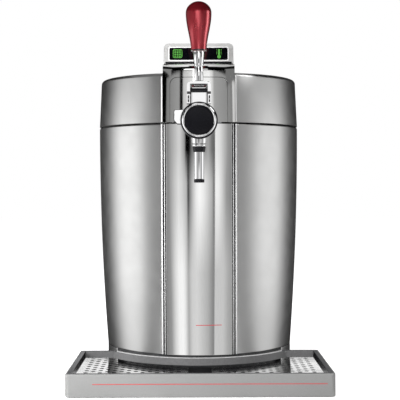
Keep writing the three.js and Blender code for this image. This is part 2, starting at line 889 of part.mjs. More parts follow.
// The rocker rests tilted one way and swings to the same tilt the other way.
function makeRocker() {
  const tilt = THREE.MathUtils.degToRad(-rockerTilt);
  const profile = [
    [-rockerBack, -rockerWaistOut], [rockerWaistOut, -rockerWaistHalf], [rockerTipOut, -rockerTipHalf],
    [rockerDipOut, 0], [rockerTipOut, rockerTipHalf], [rockerWaistOut, rockerWaistHalf],
    [-rockerBack, rockerWaistOut],
  ];
  const pivotY = fittingFace - rockerPivotDepth;
  const outline = profile.map(([u, v]) => [
    pivotY + u * Math.cos(tilt) - v * Math.sin(tilt),
    plugZ + u * Math.sin(tilt) + v * Math.cos(tilt),
  ]);
  const half = switchHalfWidth - switchWall - seatGap;
  return extruded('x', outline, rearFittingX - half, rearFittingX + half);
}

addPiece('power_supply', makeSupply(), 'aluminium');
addPiece('control_board', makeControlBoard(), 'boardGreen');
addPiece('power_inlet', makeInlet(), 'blackPlastic');
addPiece('switch_bezel', makeSwitchBezel(), 'blackPlastic');
addPiece('switch_rocker', makeRocker(), 'glossBlack');

// Lid

// The closed outside of the lid, moved inwards by a depth.
function lidBlank(depth, bottom) {
  const cornerZ = lidTop - lidCorner;
  const levels = bottom < lidBottom ? [bottom, lidBottom, cornerZ] : [bottom, cornerZ];
  const rings = levels.map((z) => bodyRing(z, depth));
  for (const angle of spread(0, Math.PI / 2, filletSteps).slice(1)) {
    const z = cornerZ + (lidCorner - depth) * Math.sin(angle);
    rings.push(bodyRing(z, depth + (lidCorner - depth) * (1 - Math.cos(angle)), cornerZ));
  }
  const rim = rings.at(-1);
  for (const share of spread(1, 0, domeSteps + 1).slice(1, -1)) {
    const rise = lidDome * (1 - share ** 2);
    rings.push(rim.map((p) => point(p.x * share, chamberY + (p.y - chamberY) * share, p.z + rise)));
  }
  return stacked(rings);
}

// A slab of the curved front, as wide as given and down to a depth.
function frontSlab(halfWidth, outerDepth, innerDepth, low, high) {
  const rowAt = (z) => ({
    outer: frontPath(z, outerDepth, -halfWidth, halfWidth),
    inner: frontPath(z, innerDepth, -halfWidth, halfWidth),
  });
  return sheet([rowAt(low), rowAt(high)]);
}

function makeLidShell() {
  const slot = frontSlab(shellEdgeX, -overrun, panelInner + seatGap, lidBottom, panelTop + overrun);
  const shell = lidBlank(0, lidBottom).subtract(lidBlank(lidWall, lidBottom - overrun));
  return shell.subtract(slot);
}

function makeLidFrontPanel() {
  const outerDepth = -frontStandOff;
  const filletZ = panelTop - panelFillet;
  const row = (z, outer, innerZ, inner) => ({
    outer: frontPath(z, outer, -panelHalfWidth, panelHalfWidth, panelSteps, Math.min(z, filletZ)),
    inner: frontPath(innerZ, inner, -panelHalfWidth, panelHalfWidth, panelSteps, Math.min(innerZ, filletZ)),
  });
  const rows = [row(lidBottom, outerDepth, lidBottom, outerDepth + lidWall)];
  const innerFillet = panelFillet - lidWall;
  for (const angle of spread(0, Math.PI / 2, filletSteps)) {
    const back = panelFillet * (1 - Math.cos(angle));
    const innerBack = lidWall + innerFillet * (1 - Math.cos(angle));
    const z = filletZ + panelFillet * Math.sin(angle);
    const innerZ = filletZ + innerFillet * Math.sin(angle);
    rows.push(row(z, outerDepth + back, innerZ, outerDepth + innerBack));
  }
  const notchTop = lidBottom + tapPlateHeight + panelGap;
  const notchSide = tapPlateHalfWidth + panelGap;
  const notch = archOutline(notchSide, lidBottom - overrun, notchTop, tapPlateCorner + panelGap);
  return sheet(rows).subtract(extruded('y', notch, frontY - overrun, 0));
}

const lidPanOuter = panRadius + panWall;
const notchBlock = block(
  [-lidNotchHalfWidth, lidNotchHalfWidth],
  [frontY - overrun, lidNotchRearY],
  [shellTop, panelTop],
);

function makeLidLiner() {
  const plate = bodyPrism(lidWall + seatGap, lidPlateBottom, lidPlateTop, lidBottom + lidWall);
  const pan = rod('z', lidPanOuter, lidPlateBottom, lidPanTop + panWall, chamberCentre, largeSteps);
  const hollow = rod('z', panRadius, lidPlateBottom - overrun, lidPanTop, chamberCentre, largeSteps);
  const slot = frontSlab(shellEdgeX, -overrun, panelInner, shellTop, lidPanTop);
  const tubeWay = block(
    [-tubeHoleRadius, tubeHoleRadius],
    [lidNotchRearY - overrun, chamberY],
    [shellTop, boreZ + tubeHoleRadius],
  );
  return plate.add(pan).subtract(hollow).subtract(notchBlock).subtract(slot).subtract(tubeWay);
}

function makeLidFoam() {
  const outside = lidBlank(lidWall + seatGap, lidPlateTop + seatGap);
  const topCut = bodyPrism(-overrun, lidTop - foamClearance, panelTop, lidBottom);
  const panTopZ = lidPanTop + panWall + seatGap;
  const pan = rod('z', lidPanOuter + seatGap, lidPlateBottom, panTopZ, chamberCentre, largeSteps);
  const slot = frontSlab(shellEdgeX + seatGap, -overrun, panelInner + seatGap, shellTop, panelTop);
  const tubeWay = block(
    [-tubeHoleRadius - seatGap, tubeHoleRadius + seatGap],
    [lidNotchRearY - overrun, chamberY],
    [shellTop, boreZ + tubeHoleRadius + seatGap],
  );
  return outside.subtract(topCut).subtract(pan).subtract(notchBlock).subtract(slot).subtract(tubeWay);
}

addPiece('lid_shell', makeLidShell(), 'satinSteel');
addPiece('lid_front_panel', makeLidFrontPanel(), 'polishedSteel');
addPiece('lid_liner', makeLidLiner(), 'whitePlastic');
addPiece('lid_foam', makeLidFoam(), 'foam');

// Magnet catch

const strikeTop = deckTop + seatGap + strikeHeight;
const catchTurn = THREE.MathUtils.degToRad(magnetTurn);
const catchPlace = frontArc(sectionAt(lidBottom, magnetInset), 0, catchTurn, catchTurn, 1)[0];
const magnetTop = lidPlateBottom - seatGap;
addPiece('strike_plate', rod('z', magnetRadius, deckTop + seatGap, strikeTop, catchPlace), 'steel');
addPiece('lid_magnet', rod('z', magnetRadius, strikeTop + seatGap, magnetTop, catchPlace), 'steel');

// Spine cover and display on top of the lid

function spineOutline(inset) {
  const top = panelTop - inset;
  const low = lidTop - lidCorner;
  const front = frontY + panelInner;
  const rear = bodyRearY - spineRearGap - inset;
  return [
    [front, low], [rear + spineToe, low], [rear + spineToe, lidTop],
    [rear, top - spineRearFall], [frontY + spineFlatSetback, top], [front, top],
  ];
}

function makeSpine() {
  const inner = spineHalfWidth - spineWall;
  const top = panelTop + overrun;
  const slab = frontSlab(spineHalfWidth + overrun, -overrun, panelInner + seatGap, lidBottom, top);
  const shell = extruded('x', spineOutline(0), -spineHalfWidth, spineHalfWidth);
  const hollow = extruded('x', spineOutline(spineWall), -inner, inner);
  return shell.subtract(slab).subtract(lidBlank(-seatGap, lidBottom)).subtract(hollow);
}

const displayBottom = panelTop + seatGap;

function displayOutline(inset) {
  const lift = displayHeight - displayBrow;
  const front = displayFrontY + inset;
  return [
    [front, displayBottom], [front + displayLean * lift / displayHeight, displayBottom + lift],
    [front + displayLean + displayBrow / 2, displayBottom + displayHeight - inset],
    [displayFrontY + displayTopDepth, displayBottom + displayHeight - inset],
    [displayFrontY + displayTailDepth - inset, displayBottom + displayTailHeight],
    [displayFrontY + displayTailDepth - inset, displayBottom],
  ];
}

// A plate that leans back with the display's face, as deep as given.
function facePlate(halfWidth, low, high, front, back) {
  const slope = displayLean / displayHeight;
  const corner = (depth, rise) => [displayFrontY + depth + slope * rise, displayBottom + rise];
  const outline = [corner(front, low), corner(back, low), corner(back, high), corner(front, high)];
  return extruded('x', outline, -halfWidth, halfWidth);
}

function makeDisplayHousing() {
  const high = displayBottom + displayHeight;
  const arch = archOutline(displayHalfWidth, displayBottom - overrun, high, displayCorner);
  const mask = extruded('y', arch, displayFrontY - overrun, displayFrontY + displayTailDepth + overrun);
  const hollowHalf = displayHalfWidth - displayWall;
  const hollow = extruded('x', displayOutline(displayWall), -hollowHalf, hollowHalf);
  const lift = block([-hollowHalf, hollowHalf], [displayFrontY, lidNotchRearY], [lidTop, displayBottom]);
  const pocket = facePlate(
    windowHalfWidth + seatGap, windowLow - seatGap, windowHigh + seatGap, -overrun, windowWall + seatGap,
  );
  const blank = extruded('x', displayOutline(0), -displayHalfWidth, displayHalfWidth).intersect(mask);
  return blank.subtract(hollow).subtract(lift).subtract(pocket);
}

function makeLampBoard() {
  const front = displayWall + seatGap;
  const low = displayTailHeight;
  return facePlate(windowHalfWidth, low, windowHigh - displayWall, front, front + lampBoardWall);
}

addPiece('spine_cover', makeSpine(), 'satinSteel');
addPiece('display_housing', makeDisplayHousing(), 'silverPaint');
addPiece('display_window', facePlate(windowHalfWidth, windowLow, windowHigh, 0, windowWall), 'glossBlack');
addPiece('display_board', makeLampBoard(), 'boardGreen');

// Rear hinges

const hingeFaceY = bodyRearY + seatGap;

function makeHingeBase(centreX) {
  const centre = point(0, hingeY, hingeZ);
  const wide = [centreX - baseHalfWidth, centreX + baseHalfWidth];
  const knuckleClear = hingeRadius + seatGap;
  const plate = block(wide, [hingeFaceY, hingeFaceY + leafWall], [hingeZ - baseHeight, hingeZ]);
  const barrel = rod('x', hingeRadius, wide[0], wide[1], centre);
  const room = block(
    [centreX - leafKnuckleHalf - seatGap, centreX + leafKnuckleHalf + seatGap],
    [bodyRearY - overrun, hingeY + overrun],
    [hingeZ - knuckleClear, hingeZ + overrun],
  );
  const pin = rod('x', hingePinRadius, wide[0], wide[1], centre);
  return plate.add(barrel).subtract(room).add(pin);
}

function makeHingeLeaf(centreX) {
  const centre = point(0, hingeY, hingeZ);
  const wide = [centreX - leafHalfWidth, centreX + leafHalfWidth];
  const narrow = [centreX - leafKnuckleHalf, centreX + leafKnuckleHalf];
  const plateY = [hingeFaceY, hingeFaceY + leafWall];
  const plateLow = hingeZ + hingeRadius + seatGap;
  const plate = block(wide, plateY, [plateLow, hingeZ + leafHeight]);
  const neck = block(narrow, plateY, [hingeZ, plateLow + seatGap]);
  const barrel = rod('x', hingeRadius, narrow[0], narrow[1], centre);
  const bore = rod('x', hingePinRadius + seatGap, wide[0], wide[1], centre);
  return plate.add(neck).add(barrel).subtract(bore);
}

for (const [side, sign] of [['left', -1], ['right', 1]]) {
  addPiece(`hinge_base_${side}`, makeHingeBase(sign * rearFittingX), 'steel');
  addPiece(`hinge_leaf_${side}`, makeHingeLeaf(sign * rearFittingX), 'steel');
}

// Tap mounting

const plateOuterDepth = -frontStandOff;
const plateInnerDepth = tapPlateWall - frontStandOff;
const tubeCentre = point(0, 0, boreZ);

function tubeHole(radius) {
  return rod('y', radius, frontY - overrun, lidNotchRearY, tubeCentre);
}

function makeTapPlate() {
  const top = lidBottom + tapPlateHeight;
  const slab = frontSlab(tapPlateHalfWidth, plateOuterDepth, plateInnerDepth, lidBottom, top);
  const outline = archOutline(tapPlateHalfWidth, lidBottom - overrun, top, tapPlateCorner);
  const mask = extruded('y', outline, frontY - overrun, 0);
  return slab.intersect(mask).subtract(tubeHole(tubeHoleRadius));
}

function makeTapBracket() {
  const outer = plateInnerDepth + seatGap;
  const bottom = deckTop + seatGap;
  const upright = frontSlab(bracketHalfWidth, outer, outer + bracketWall, bottom, bottom + bracketHeight);
  const rearY = frontY + bracketSetback;
  const rearEdge = (z) => [point(bracketHalfWidth, rearY, z), point(-bracketHalfWidth, rearY, z)];
  const footRing = (z) => [...frontPath(z, outer, -bracketHalfWidth, bracketHalfWidth), ...rearEdge(z)];
  const foot = stacked([footRing(bottom), footRing(bottom + bracketWall)]);
  return upright.add(foot).subtract(tubeHole(tubeHoleRadius));
}

addPiece('tap_bracket', makeTapBracket(), 'steel');
addPiece('tap_plate', makeTapPlate(), 'polishedSteel');

// Tap body, spout and their bores

const barrelCentre = point(0, 0, tapCentreZ);
const pivot = point(0, leverY, pivotZ);
const spoutCentre = point(0, spoutY, 0);
const stubBottom = tapCentreZ - stubDrop;
const sliderFrontY = leverY + shaftRadius + seatGap;
const sliderRearY = sliderFrontY + sliderDepth;
const coverCavityZ = pivotZ + coverRoof;

function makeTapBody() {
  const neck = block([-neckHalfWidth, neckHalfWidth], [neckFrontY, tapRearY], [neckBottom, neckTop]);
  const barrel = rod('y', barrelRadius, barrelFrontY, barrelRearY, barrelCentre, mediumSteps);
  const stub = rod('z', stubRadius, stubBottom, tapCentreZ, spoutCentre);
  const inwardBore = rod('y', boreRadius, spoutY, tapRearY + overrun, tubeCentre);
  const downBore = rod('z', boreRadius, stubBottom - overrun, boreZ, spoutCentre);
  const elbowProfile = [
    [0, boreZ - boreRadius], [boreRadius, boreZ - boreRadius], [boreRadius, boreZ], [0, boreZ + boreRadius],
  ];
  const elbow = turned('z', elbowProfile, spoutCentre, smallSteps);
  const channelX = sliderHalfWidth + seatGap;
  const channel = block(
    [-channelX, channelX],
    [sliderFrontY - seatGap, sliderRearY + seatGap],
    [boreZ - boreRadius, neckTop + overrun],
  );
  const crankRoom = block(
    [-channelX, channelX],
    [leverY - chamberFront, sliderRearY + seatGap],
    [pivotZ - chamberDrop, neckTop + overrun],
  );
  const shaftBore = rod('x', shaftRadius + seatGap, -armOuter, armOuter, pivot);
  const spigotBore = rod(
    'y', spigotRadius + seatGap, barrelFrontY - overrun, barrelFrontY + spigotLength + seatGap, barrelCentre,
  );
  return neck.add(barrel).add(stub).subtract(inwardBore).subtract(downBore).subtract(elbow)
    .subtract(channel).subtract(crankRoom).subtract(shaftBore).subtract(spigotBore);
}

function makeNeckCap() {
  const low = neckTop + seatGap;
  const dome = rod('x', capRadius, -neckHalfWidth, neckHalfWidth, pivot, mediumSteps);
  const depth = [leverY - bridgeOuter, leverY + bridgeOuter];
  const above = block([-armOuter, armOuter], depth, [low, pivotZ + bridgeOuter]);
  const channelX = sliderHalfWidth + seatGap;
  const cavity = block(
    [-channelX, channelX],
    [leverY - chamberFront, sliderRearY + seatGap],
    [neckBottom, coverCavityZ],
  );
  return dome.intersect(above).subtract(cavity);
}

const socketBottom = tapCentreZ - socketDrop;
const collarTop = socketBottom - seatGap;
const collarBottom = collarTop - collarHeight;
const sleeveRadius = stubRadius + seatGap;
const spoutTop = stubBottom - seatGap;
const spoutBottom = spoutTop - spoutLength;

function makeSocket() {
  const top = socketBottom + socketHeight + barrelRadius / 2;
  const profile = [
    [sleeveRadius, socketBottom], [socketRadius, socketBottom],
    [socketTopRadius, socketBottom + socketHeight], [socketTopRadius, top],
    [sleeveRadius, top], [sleeveRadius, socketBottom],
  ];
  const [low, high] = [barrelFrontY - overrun, barrelRearY + overrun];
  const room = rod('y', barrelRadius + seatGap, low, high, barrelCentre, mediumSteps);
  return turned('z', profile, spoutCentre, mediumSteps).subtract(room);
}

function makeSpoutCollar() {
  const profile = [
    [sleeveRadius, collarBottom], [collarLowRadius, collarBottom], [collarTopRadius, collarTop],
    [sleeveRadius, collarTop], [sleeveRadius, collarBottom],
  ];
  return turned('z', profile, spoutCentre, smallSteps);
}

addPiece('tap_body', makeTapBody(), 'chrome');
addPiece('neck_cap', makeNeckCap(), 'glossBlack');
addPiece('nozzle_socket', makeSocket(), 'chrome');
addPiece('spout_collar', makeSpoutCollar(), 'blackPlastic');
addPiece('spout_tube', ring('z', spoutRadius, boreRadius, spoutBottom, spoutTop, spoutCentre), 'chrome');
const tipTop = spoutBottom - seatGap;
const spoutTip = ring('z', tipRadius, boreRadius, tipTop - tipHeight, tipTop, spoutCentre);
addPiece('spout_tip', spoutTip, 'blackPlastic');

// Lever: yoke, crank shaft, rod and handle

const crankRadius = pinchTravel / (2 * Math.sin(THREE.MathUtils.degToRad(leverTravel / 2)));
const crankDrop = crankRadius * Math.sin(THREE.MathUtils.degToRad(leverTravel / 2));
const crankBack = crankRadius * Math.cos(THREE.MathUtils.degToRad(leverTravel / 2));
const webRadius = crankRadius + crankPinRadius + crankRimWall;

function makeYoke() {
  const top = pivotZ + bridgeOuter;
  const low = pivotZ - yokeDrop;
  const front = archOutline(armOuter, low, top, yokeCorner);
  const body = extruded('y', front, leverY - yokeHalfDepth, leverY + yokeHalfDepth);
  const roundTop = rod('x', bridgeOuter, -armOuter, armOuter, pivot, mediumSteps);
  const window = rod('x', bridgeInner, -armInner, armInner, pivot, mediumSteps);
  const shaftHole = rod('x', shaftRadius + seatGap, -armOuter - overrun, armOuter + overrun, pivot);
  const between = block([-armInner, armInner], [leverY - overrun, leverY + overrun], [low - overrun, pivotZ]);
  return body.intersect(roundTop).subtract(window).subtract(between).subtract(shaftHole);
}

// The crank pin starts low behind the shaft, and lifts the slider as the lever comes forward.
function makeShaft() {
  const webEnd = crankPinHalf + crankWeb;
  const pinCentre = point(0, leverY + crankBack, pivotZ - crankDrop);
  let shaft = rod('x', shaftRadius, -armOuter, armOuter, pivot);
  shaft = shaft.add(rod('x', crankPinRadius, -webEnd, webEnd, pinCentre));
  for (const sign of [-1, 1]) {
    const [low, high] = sign > 0 ? [crankPinHalf, webEnd] : [-webEnd, -crankPinHalf];
    shaft = shaft.add(rod('x', webRadius, low, high, pivot));
  }
  return shaft;
}

function makeLeverRod() {
  const profile = [
    [0, rodBottom], [rodRadius, rodBottom], [rodRadius, ferruleBottom],
    [ferruleLowRadius, ferruleBottom + seatGap], [ferruleTopRadius, ferruleTop], [0, ferruleTop],
  ];
  return turned('z', profile, point(0, leverY, 0), smallSteps);
}

// The handle flares smoothly from its foot to its widest place and ends in a low dome.
function makeHandle() {
  const widest = handleBottom + handleWaist;
  const growth = handleMaxRadius - handleBottomRadius;
  const flare = spread(0, 1, panelSteps).map((share) => {
    const swell = (1 - Math.cos(Math.PI * share)) / 2;
    return [handleBottomRadius + growth * swell, handleBottom + handleWaist * share];
  });
  const crown = arc(0, 0, 1, 0, 90, panelSteps).slice(1, -1);
  const dome = crown.map(([out, up]) => [handleMaxRadius * out, widest + handleCrown * up]);
  const profile = [[0, handleBottom], ...flare, ...dome, [0, widest + handleCrown]];
  return turned('z', profile, point(0, leverY, 0), mediumSteps);
}

addPiece('lever_yoke', makeYoke(), 'chrome');
addPiece('lever_shaft', makeShaft(), 'steel');
addPiece('lever_rod', makeLeverRod(), 'chrome');
addPiece('lever_handle', makeHandle(), 'redPaint');

// Slider that pinches the beer tube, moved by the crank pin

function makeSlider() {
  const bottom = boreZ - boreRadius + pinchedTube;
  const slotMiddle = pivotZ - crankDrop;
  const slotHalf = crankPinRadius + pinClearance;
  const depth = [sliderFrontY, sliderRearY];
  const blade = block([-sliderHalfWidth, sliderHalfWidth], depth, [bottom, bottom + bladeHeight]);
  const stem = block([-stemHalfWidth, stemHalfWidth], depth, [bottom, slotMiddle + slotHalf + jawWall]);
  const slotEnd = leverY + crankRadius + crankPinRadius + seatGap;
  const slot = block(
    [-armOuter, armOuter], [leverY - overrun, slotEnd], [slotMiddle - slotHalf, slotMiddle + slotHalf],
  );
  return blade.add(stem).subtract(slot);
}

addPiece('pinch_slider', makeSlider(), 'whitePlastic');

// Round cap on the tap

const collarRearY = barrelFrontY - seatGap;
const collarFrontY = collarRearY - capCollarDepth;
const badgeRadius = capRingRadius - capRingWidth - seatGap;

function makeCapCollar() {
  const edge = capCollarRadius - capCollarChamfer;
  const profile = [
    [0, collarFrontY], [edge, collarFrontY], [capCollarRadius, collarFrontY + capCollarChamfer],
    [capCollarRadius, collarRearY], [spigotRadius, collarRearY], [spigotRadius, collarRearY + spigotLength],
    [0, collarRearY + spigotLength],
  ];
  const collar = turned('y', profile, barrelCentre, mediumSteps);
  const root = capCollarRadius - tabBevel;
  const outline = [
    [tapCentreZ, -tabReach], [tapCentreZ - tabBevel, -tabReach + tabBevel], [tapCentreZ - tabBevel, -root],
    [tapCentreZ + tabRise, -root / 2], [tapCentreZ + tabRise, -tabReach],
  ];
  return collar.add(extruded('y', outline, collarFrontY + capCollarChamfer, collarRearY));
}

function makeCapRing() {
  const rear = collarFrontY - seatGap;
  const front = rear - capRingDepth;
  const inner = capRingRadius - capRingWidth;
  const profile = [
    [inner, rear], [inner, front + capRingEdge], [inner + capRingEdge, front],
    [capRingRadius - capRingEdge, front], [capRingRadius, front + capRingEdge],
    [capRingRadius, rear], [inner, rear],
  ];
  return turned('y', profile, barrelCentre, mediumSteps);
}

function makeBadge() {
  const rear = collarFrontY - seatGap;
  const front = rear - badgeDepth;
  const profile = [
    [0, rear], [badgeRadius, rear], [badgeRadius, front + badgeDome],
    [badgeRadius / 2, front + badgeDome / 4], [0, front],
  ];
  return turned('y', profile, barrelCentre, mediumSteps);
}

addPiece('cap_collar', makeCapCollar(), 'chrome');
addPiece('cap_ring', makeCapRing(), 'chrome');
addPiece('cap_badge', makeBadge(), 'glossBlack');

// Drip tray

// The tray's outline, moved inwards at the front and sides, and away from the body at the rear.
function trayRing(z, inset, rearInset) {
  const side = trayHalfWidth - inset;
  const front = trayFrontY + inset;
  const rear = trayRearY - rearInset;
  const corner = Math.max(trayCorner - inset, seatGap);
  const section = sectionAt(shellBottom, -trayBodyGap - rearInset);
  const reach = Math.acos((widestY - rear) / section.frontDepth);
  const hug = frontArc(section, z, reach, -reach, frontSteps - cornerSteps);
  const left = arc(corner - side, front + corner, corner, 180, 270, filletSteps);
  const right = arc(side - corner, front + corner, corner, 270, 360, filletSteps);
  const corners = [...left, ...right, [side, rear]].map(([x, y]) => point(x, y, z));
  return [...corners, ...hug, point(-side, rear, z)];
}

function trayPrism(inset, rearInset, low, high) {
  return stacked([trayRing(low, inset, rearInset), trayRing(high, inset, rearInset)]);
}

function makeTrayTub() {
  const outside = trayPrism(fasciaWall + seatGap, 0, trayFloorGap, trayTop);
  const well = trayPrism(trayRim, trayRim, gridBottom - seatGap, trayTop + overrun);
  const sump = trayPrism(trayRim + gridLedge, trayRim + gridLedge, trayFloorGap + trayFloorWall, trayTop);
  const bodyFront = widestY - sectionAt(shellBottom, 0).frontDepth;
  const tongue = block(
    [-tongueHalfWidth, tongueHalfWidth],
    [bodyFront - trayBodyGap - trayRim / 2, bodyFront + tongueLength],
    [trayFloorGap, footHeight - seatGap],
  );
  return outside.subtract(well).subtract(sump).add(tongue);
}

function makeTrayFascia() {
  const band = trayPrism(0, 0, trayFloorGap, trayTop);
  const inside = trayPrism(fasciaWall, -overrun, trayFloorGap - overrun, trayTop + overrun);
  return band.subtract(inside);
}

// The grid's holes lie in two sets of rows, one set halfway between the other.
function gridHoles() {
  const holes = [];
  const margin = holeMargin + holeRadius;
  const edge = trayRim + seatGap + margin;
  const section = sectionAt(shellBottom, -trayBodyGap - edge);
  const halfWidth = trayHalfWidth - edge;
  const depth = trayRearY - trayFrontY - 2 * edge;
  const rows = Math.floor(2 * depth / holePitchY);
  const rowStart = trayFrontY + edge + (depth - rows * holePitchY / 2) / 2;
  for (let row = 0; row <= rows; row += 1) {
    const y = rowStart + row * holePitchY / 2;
    const count = Math.floor(halfWidth / holePitchX + 1 / 2);
    for (let column = -count; column <= count; column += 1) {
      const x = (column + (row % 2) / 2) * holePitchX;
      const behind = ((x / section.halfWidth) ** 2 + ((y - widestY) / section.frontDepth) ** 2) < 1;
      const atFinger = Math.abs(x) < fingerHalfWidth + margin
        && y > fingerFrontY - margin && y < fingerRearY + margin;
      if (Math.abs(x) <= halfWidth && !behind && !atFinger) {
        holes.push(arc(x, y, holeRadius, 360, 360 / holeSides, holeSides - 1));
      }
    }
  }
  return holes;
}

function makeGrid() {
  const inset = trayRim + seatGap;
  const outline = trayRing(0, inset, inset);
  const finger = [
    ...arc(fingerHalfWidth - fingerCorner, fingerRearY - fingerCorner, fingerCorner, 90, 0, 2),
    ...arc(fingerHalfWidth - fingerCorner, fingerFrontY + fingerCorner, fingerCorner, 0, -90, 2),
    ...arc(fingerCorner - fingerHalfWidth, fingerFrontY + fingerCorner, fingerCorner, -90, -180, 2),
    ...arc(fingerCorner - fingerHalfWidth, fingerRearY - fingerCorner, fingerCorner, 180, 90, 2),
  ];
  const flat = outline.map((place) => [place.x, place.y]);
  return extruded('z', flat, gridBottom, gridTop, [finger, ...gridHoles()]);
}

addPiece('tray_tub', makeTrayTub(), 'greyPlastic');
addPiece('tray_fascia', makeTrayFascia(), 'silverPaint');
addPiece('drip_grid', makeGrid(), 'polishedSteel');

export default group;
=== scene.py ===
import json
import math

import bmesh
import bpy
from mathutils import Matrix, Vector


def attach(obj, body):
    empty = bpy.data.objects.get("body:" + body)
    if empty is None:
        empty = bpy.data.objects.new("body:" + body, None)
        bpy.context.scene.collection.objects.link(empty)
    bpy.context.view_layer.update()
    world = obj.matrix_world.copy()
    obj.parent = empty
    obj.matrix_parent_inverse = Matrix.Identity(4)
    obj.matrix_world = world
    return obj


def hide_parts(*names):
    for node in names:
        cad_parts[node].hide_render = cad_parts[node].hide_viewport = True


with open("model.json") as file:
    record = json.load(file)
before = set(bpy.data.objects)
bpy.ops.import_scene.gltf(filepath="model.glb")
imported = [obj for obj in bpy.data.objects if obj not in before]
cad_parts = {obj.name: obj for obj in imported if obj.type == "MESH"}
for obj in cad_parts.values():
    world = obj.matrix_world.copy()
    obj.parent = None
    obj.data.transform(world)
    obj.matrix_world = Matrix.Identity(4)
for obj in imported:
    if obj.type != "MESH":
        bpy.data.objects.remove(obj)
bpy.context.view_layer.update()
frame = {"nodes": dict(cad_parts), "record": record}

nodes = frame["nodes"]

# Lengths are in millimetres here and turn into metres where a mesh is made.
MM = 0.001
SEAT = 0.3
OVER = 12
SIDES = (("left", -1), ("right", 1))

# Body
HALF_WIDTH = 141.8
FRONT_DEPTH = 134
WIDEST_Y = 10
CORNER = 70
DRAW_IN = 11.2
DRAW_POWER = 2.05
SHELL_BOTTOM = 32
SHELL_TOP = 337.6
SHELL_WALL = 3
SHELL_EDGE = 48
COLUMN_HALF = 43.5
STAND_OFF = 1.5
REAR_Y = 219
CORNER_Y = 149
PANEL_GAP = 0.5
FRONT_Y = WIDEST_Y - FRONT_DEPTH

# Lid
LID_BOTTOM = 339.6
LID_TOP = 405.6
LID_CORNER = 5
LID_DOME = 4
LID_TAPER = 0.0465
LID_WALL = 3
CHAMBER_Y = 14
PANEL_HALF = 47.5
PANEL_TOP = 417.6
PANEL_FILLET = 10
PANEL_INNER = PANEL_FILLET - STAND_OFF
PLATE_HALF = 37.7
PLATE_TOP = 398.5
PLATE_CORNER = 9
PLATE_INNER = 3.3
SPINE_END = 31
SPINE_SLOPE = 17
SPINE_DROP = 6
SPINE_LEVEL = 74
SPINE_WALL = 3

# Display
DISPLAY_HALF = 46.3
DISPLAY_Y = -109
DISPLAY_LOW = 417.9
DISPLAY_HEIGHT = 28
DISPLAY_LEAN = 5
DISPLAY_DEPTH = 66
WINDOW_HALF = 38.6
WINDOW_LOW = 5
WINDOW_HIGH = 21.5
WINDOW_WALL = 1.6

# Tap
TAP_Z = 338.5
BARREL_RADIUS = 21
BARREL_FRONT = -168
BARREL_REAR = -132
LEVER_Y = -152
PIVOT_Z = 371.5
SPOUT_Y = -157
NECK_HALF = 10
NECK_FRONT = -165
NECK_REAR = -125.8
NECK_BOTTOM = 339.1
NECK_TOP = 374.4
SLOT_HALF = 5.9
SLOT_FRONT = LEVER_Y - 8.2
BORE_Z = 350
BORE_RADIUS = 4.6
SHAFT_RADIUS = 3.5
ARM_INNER = 10.4
ARM_OUTER = 15.4
BRIDGE_INNER = 15.6
BRIDGE_OUTER = 18.7
CAP_RADIUS = 15.2
COLLAR_RADIUS = 23.4
STUB_RADIUS = 6.6
STUB_BOTTOM = 302
SLEEVE = 6.9
PIVOT = (0, LEVER_Y, PIVOT_Z)
BARREL = (0, 0, TAP_Z)

# Tray
TRAY_HALF = 164
TRAY_FRONT = -228
TRAY_REAR = -54
TRAY_CORNER = 6
TRAY_RIM = 7.6
TRAY_LEDGE = 3.4
TRAY_LOW = 0.5
TRAY_TOP = 29
TRAY_GAP = 1.5
FASCIA_WALL = 2
GRID_LOW = 18.8
GRID_TOP = 20
TRAY_FLOOR = 3
HOLE_RADIUS = 3
PITCH_X = 18.1
PITCH_Y = 14.3
HOLE_MARGIN = 5.5
FINGER_HALF = 15
FINGER_FRONT = -175
FINGER_REAR = -131

# Rear
VENT_HALF = 52
VENT_LOW = 128
VENT_HIGH = 232
VENT_SLOTS = 9
BOSS_X = 40
FITTING_X = 60
PLUG_Z = 66
FITTING_Y = REAR_Y + SEAT
INLET_WIDE = 14
INLET_HIGH = 10
SWITCH_WIDE = 12
SWITCH_HIGH = 7


# Outlines and meshes


def spread(low, high, steps):
    return [low + (high - low) * step / steps for step in range(steps + 1)]


def about(middle, reach):
    return middle - reach, middle + reach


def oblong(left, right, low, high):
    return [(left, low), (right, low), (right, high), (left, high)]


def arc(u, v, radius, start, end, steps):
    angles = [math.radians(angle) for angle in spread(start, end, steps)]
    return [(u + radius * math.cos(a), v + radius * math.sin(a)) for a in angles]


def rounded(points, radius, closed=True, steps=4):
    """The outline with its corners rounded off; radius is one number, or one for each corner."""
    count = len(points)
    result = []
    for index, here in enumerate(points):
        size = radius[index] if isinstance(radius, (list, tuple)) else radius
        if size <= 0 or (not closed and index in (0, count - 1)):
            result.append(tuple(here))
            continue
        here = Vector(here)
        before = Vector(points[index - 1]) - here
        after = Vector(points[(index + 1) % count]) - here
        half_turn = before.angle(after) / 2
        reach = min(size / math.tan(half_turn), before.length / 2, after.length / 2)
        start = here + before.normalized() * reach
        end = here + after.normalized() * reach
        for share in spread(0, 1, steps):
            result.append(tuple(start.lerp(here, share).lerp(here.lerp(end, share), share)))
    return result


def link(name, mesh):
    piece = bpy.data.objects.new(name, mesh)
    bpy.context.scene.collection.objects.link(piece)
    return piece


def made(name, places, faces):
    mesh = bpy.data.meshes.new(name)
    mesh.from_pydata([tuple(MM * value for value in place) for place in places], [], faces)
    shape = bmesh.new()
    shape.from_mesh(mesh)
    bmesh.ops.remove_doubles(shape, verts=shape.verts, dist=1e-6)
    bmesh.ops.dissolve_degenerate(shape, edges=shape.edges, dist=1e-7)
    bmesh.ops.recalc_face_normals(shape, faces=shape.faces)
    shape.to_mesh(mesh)
    shape.free()
    return link(name, mesh)


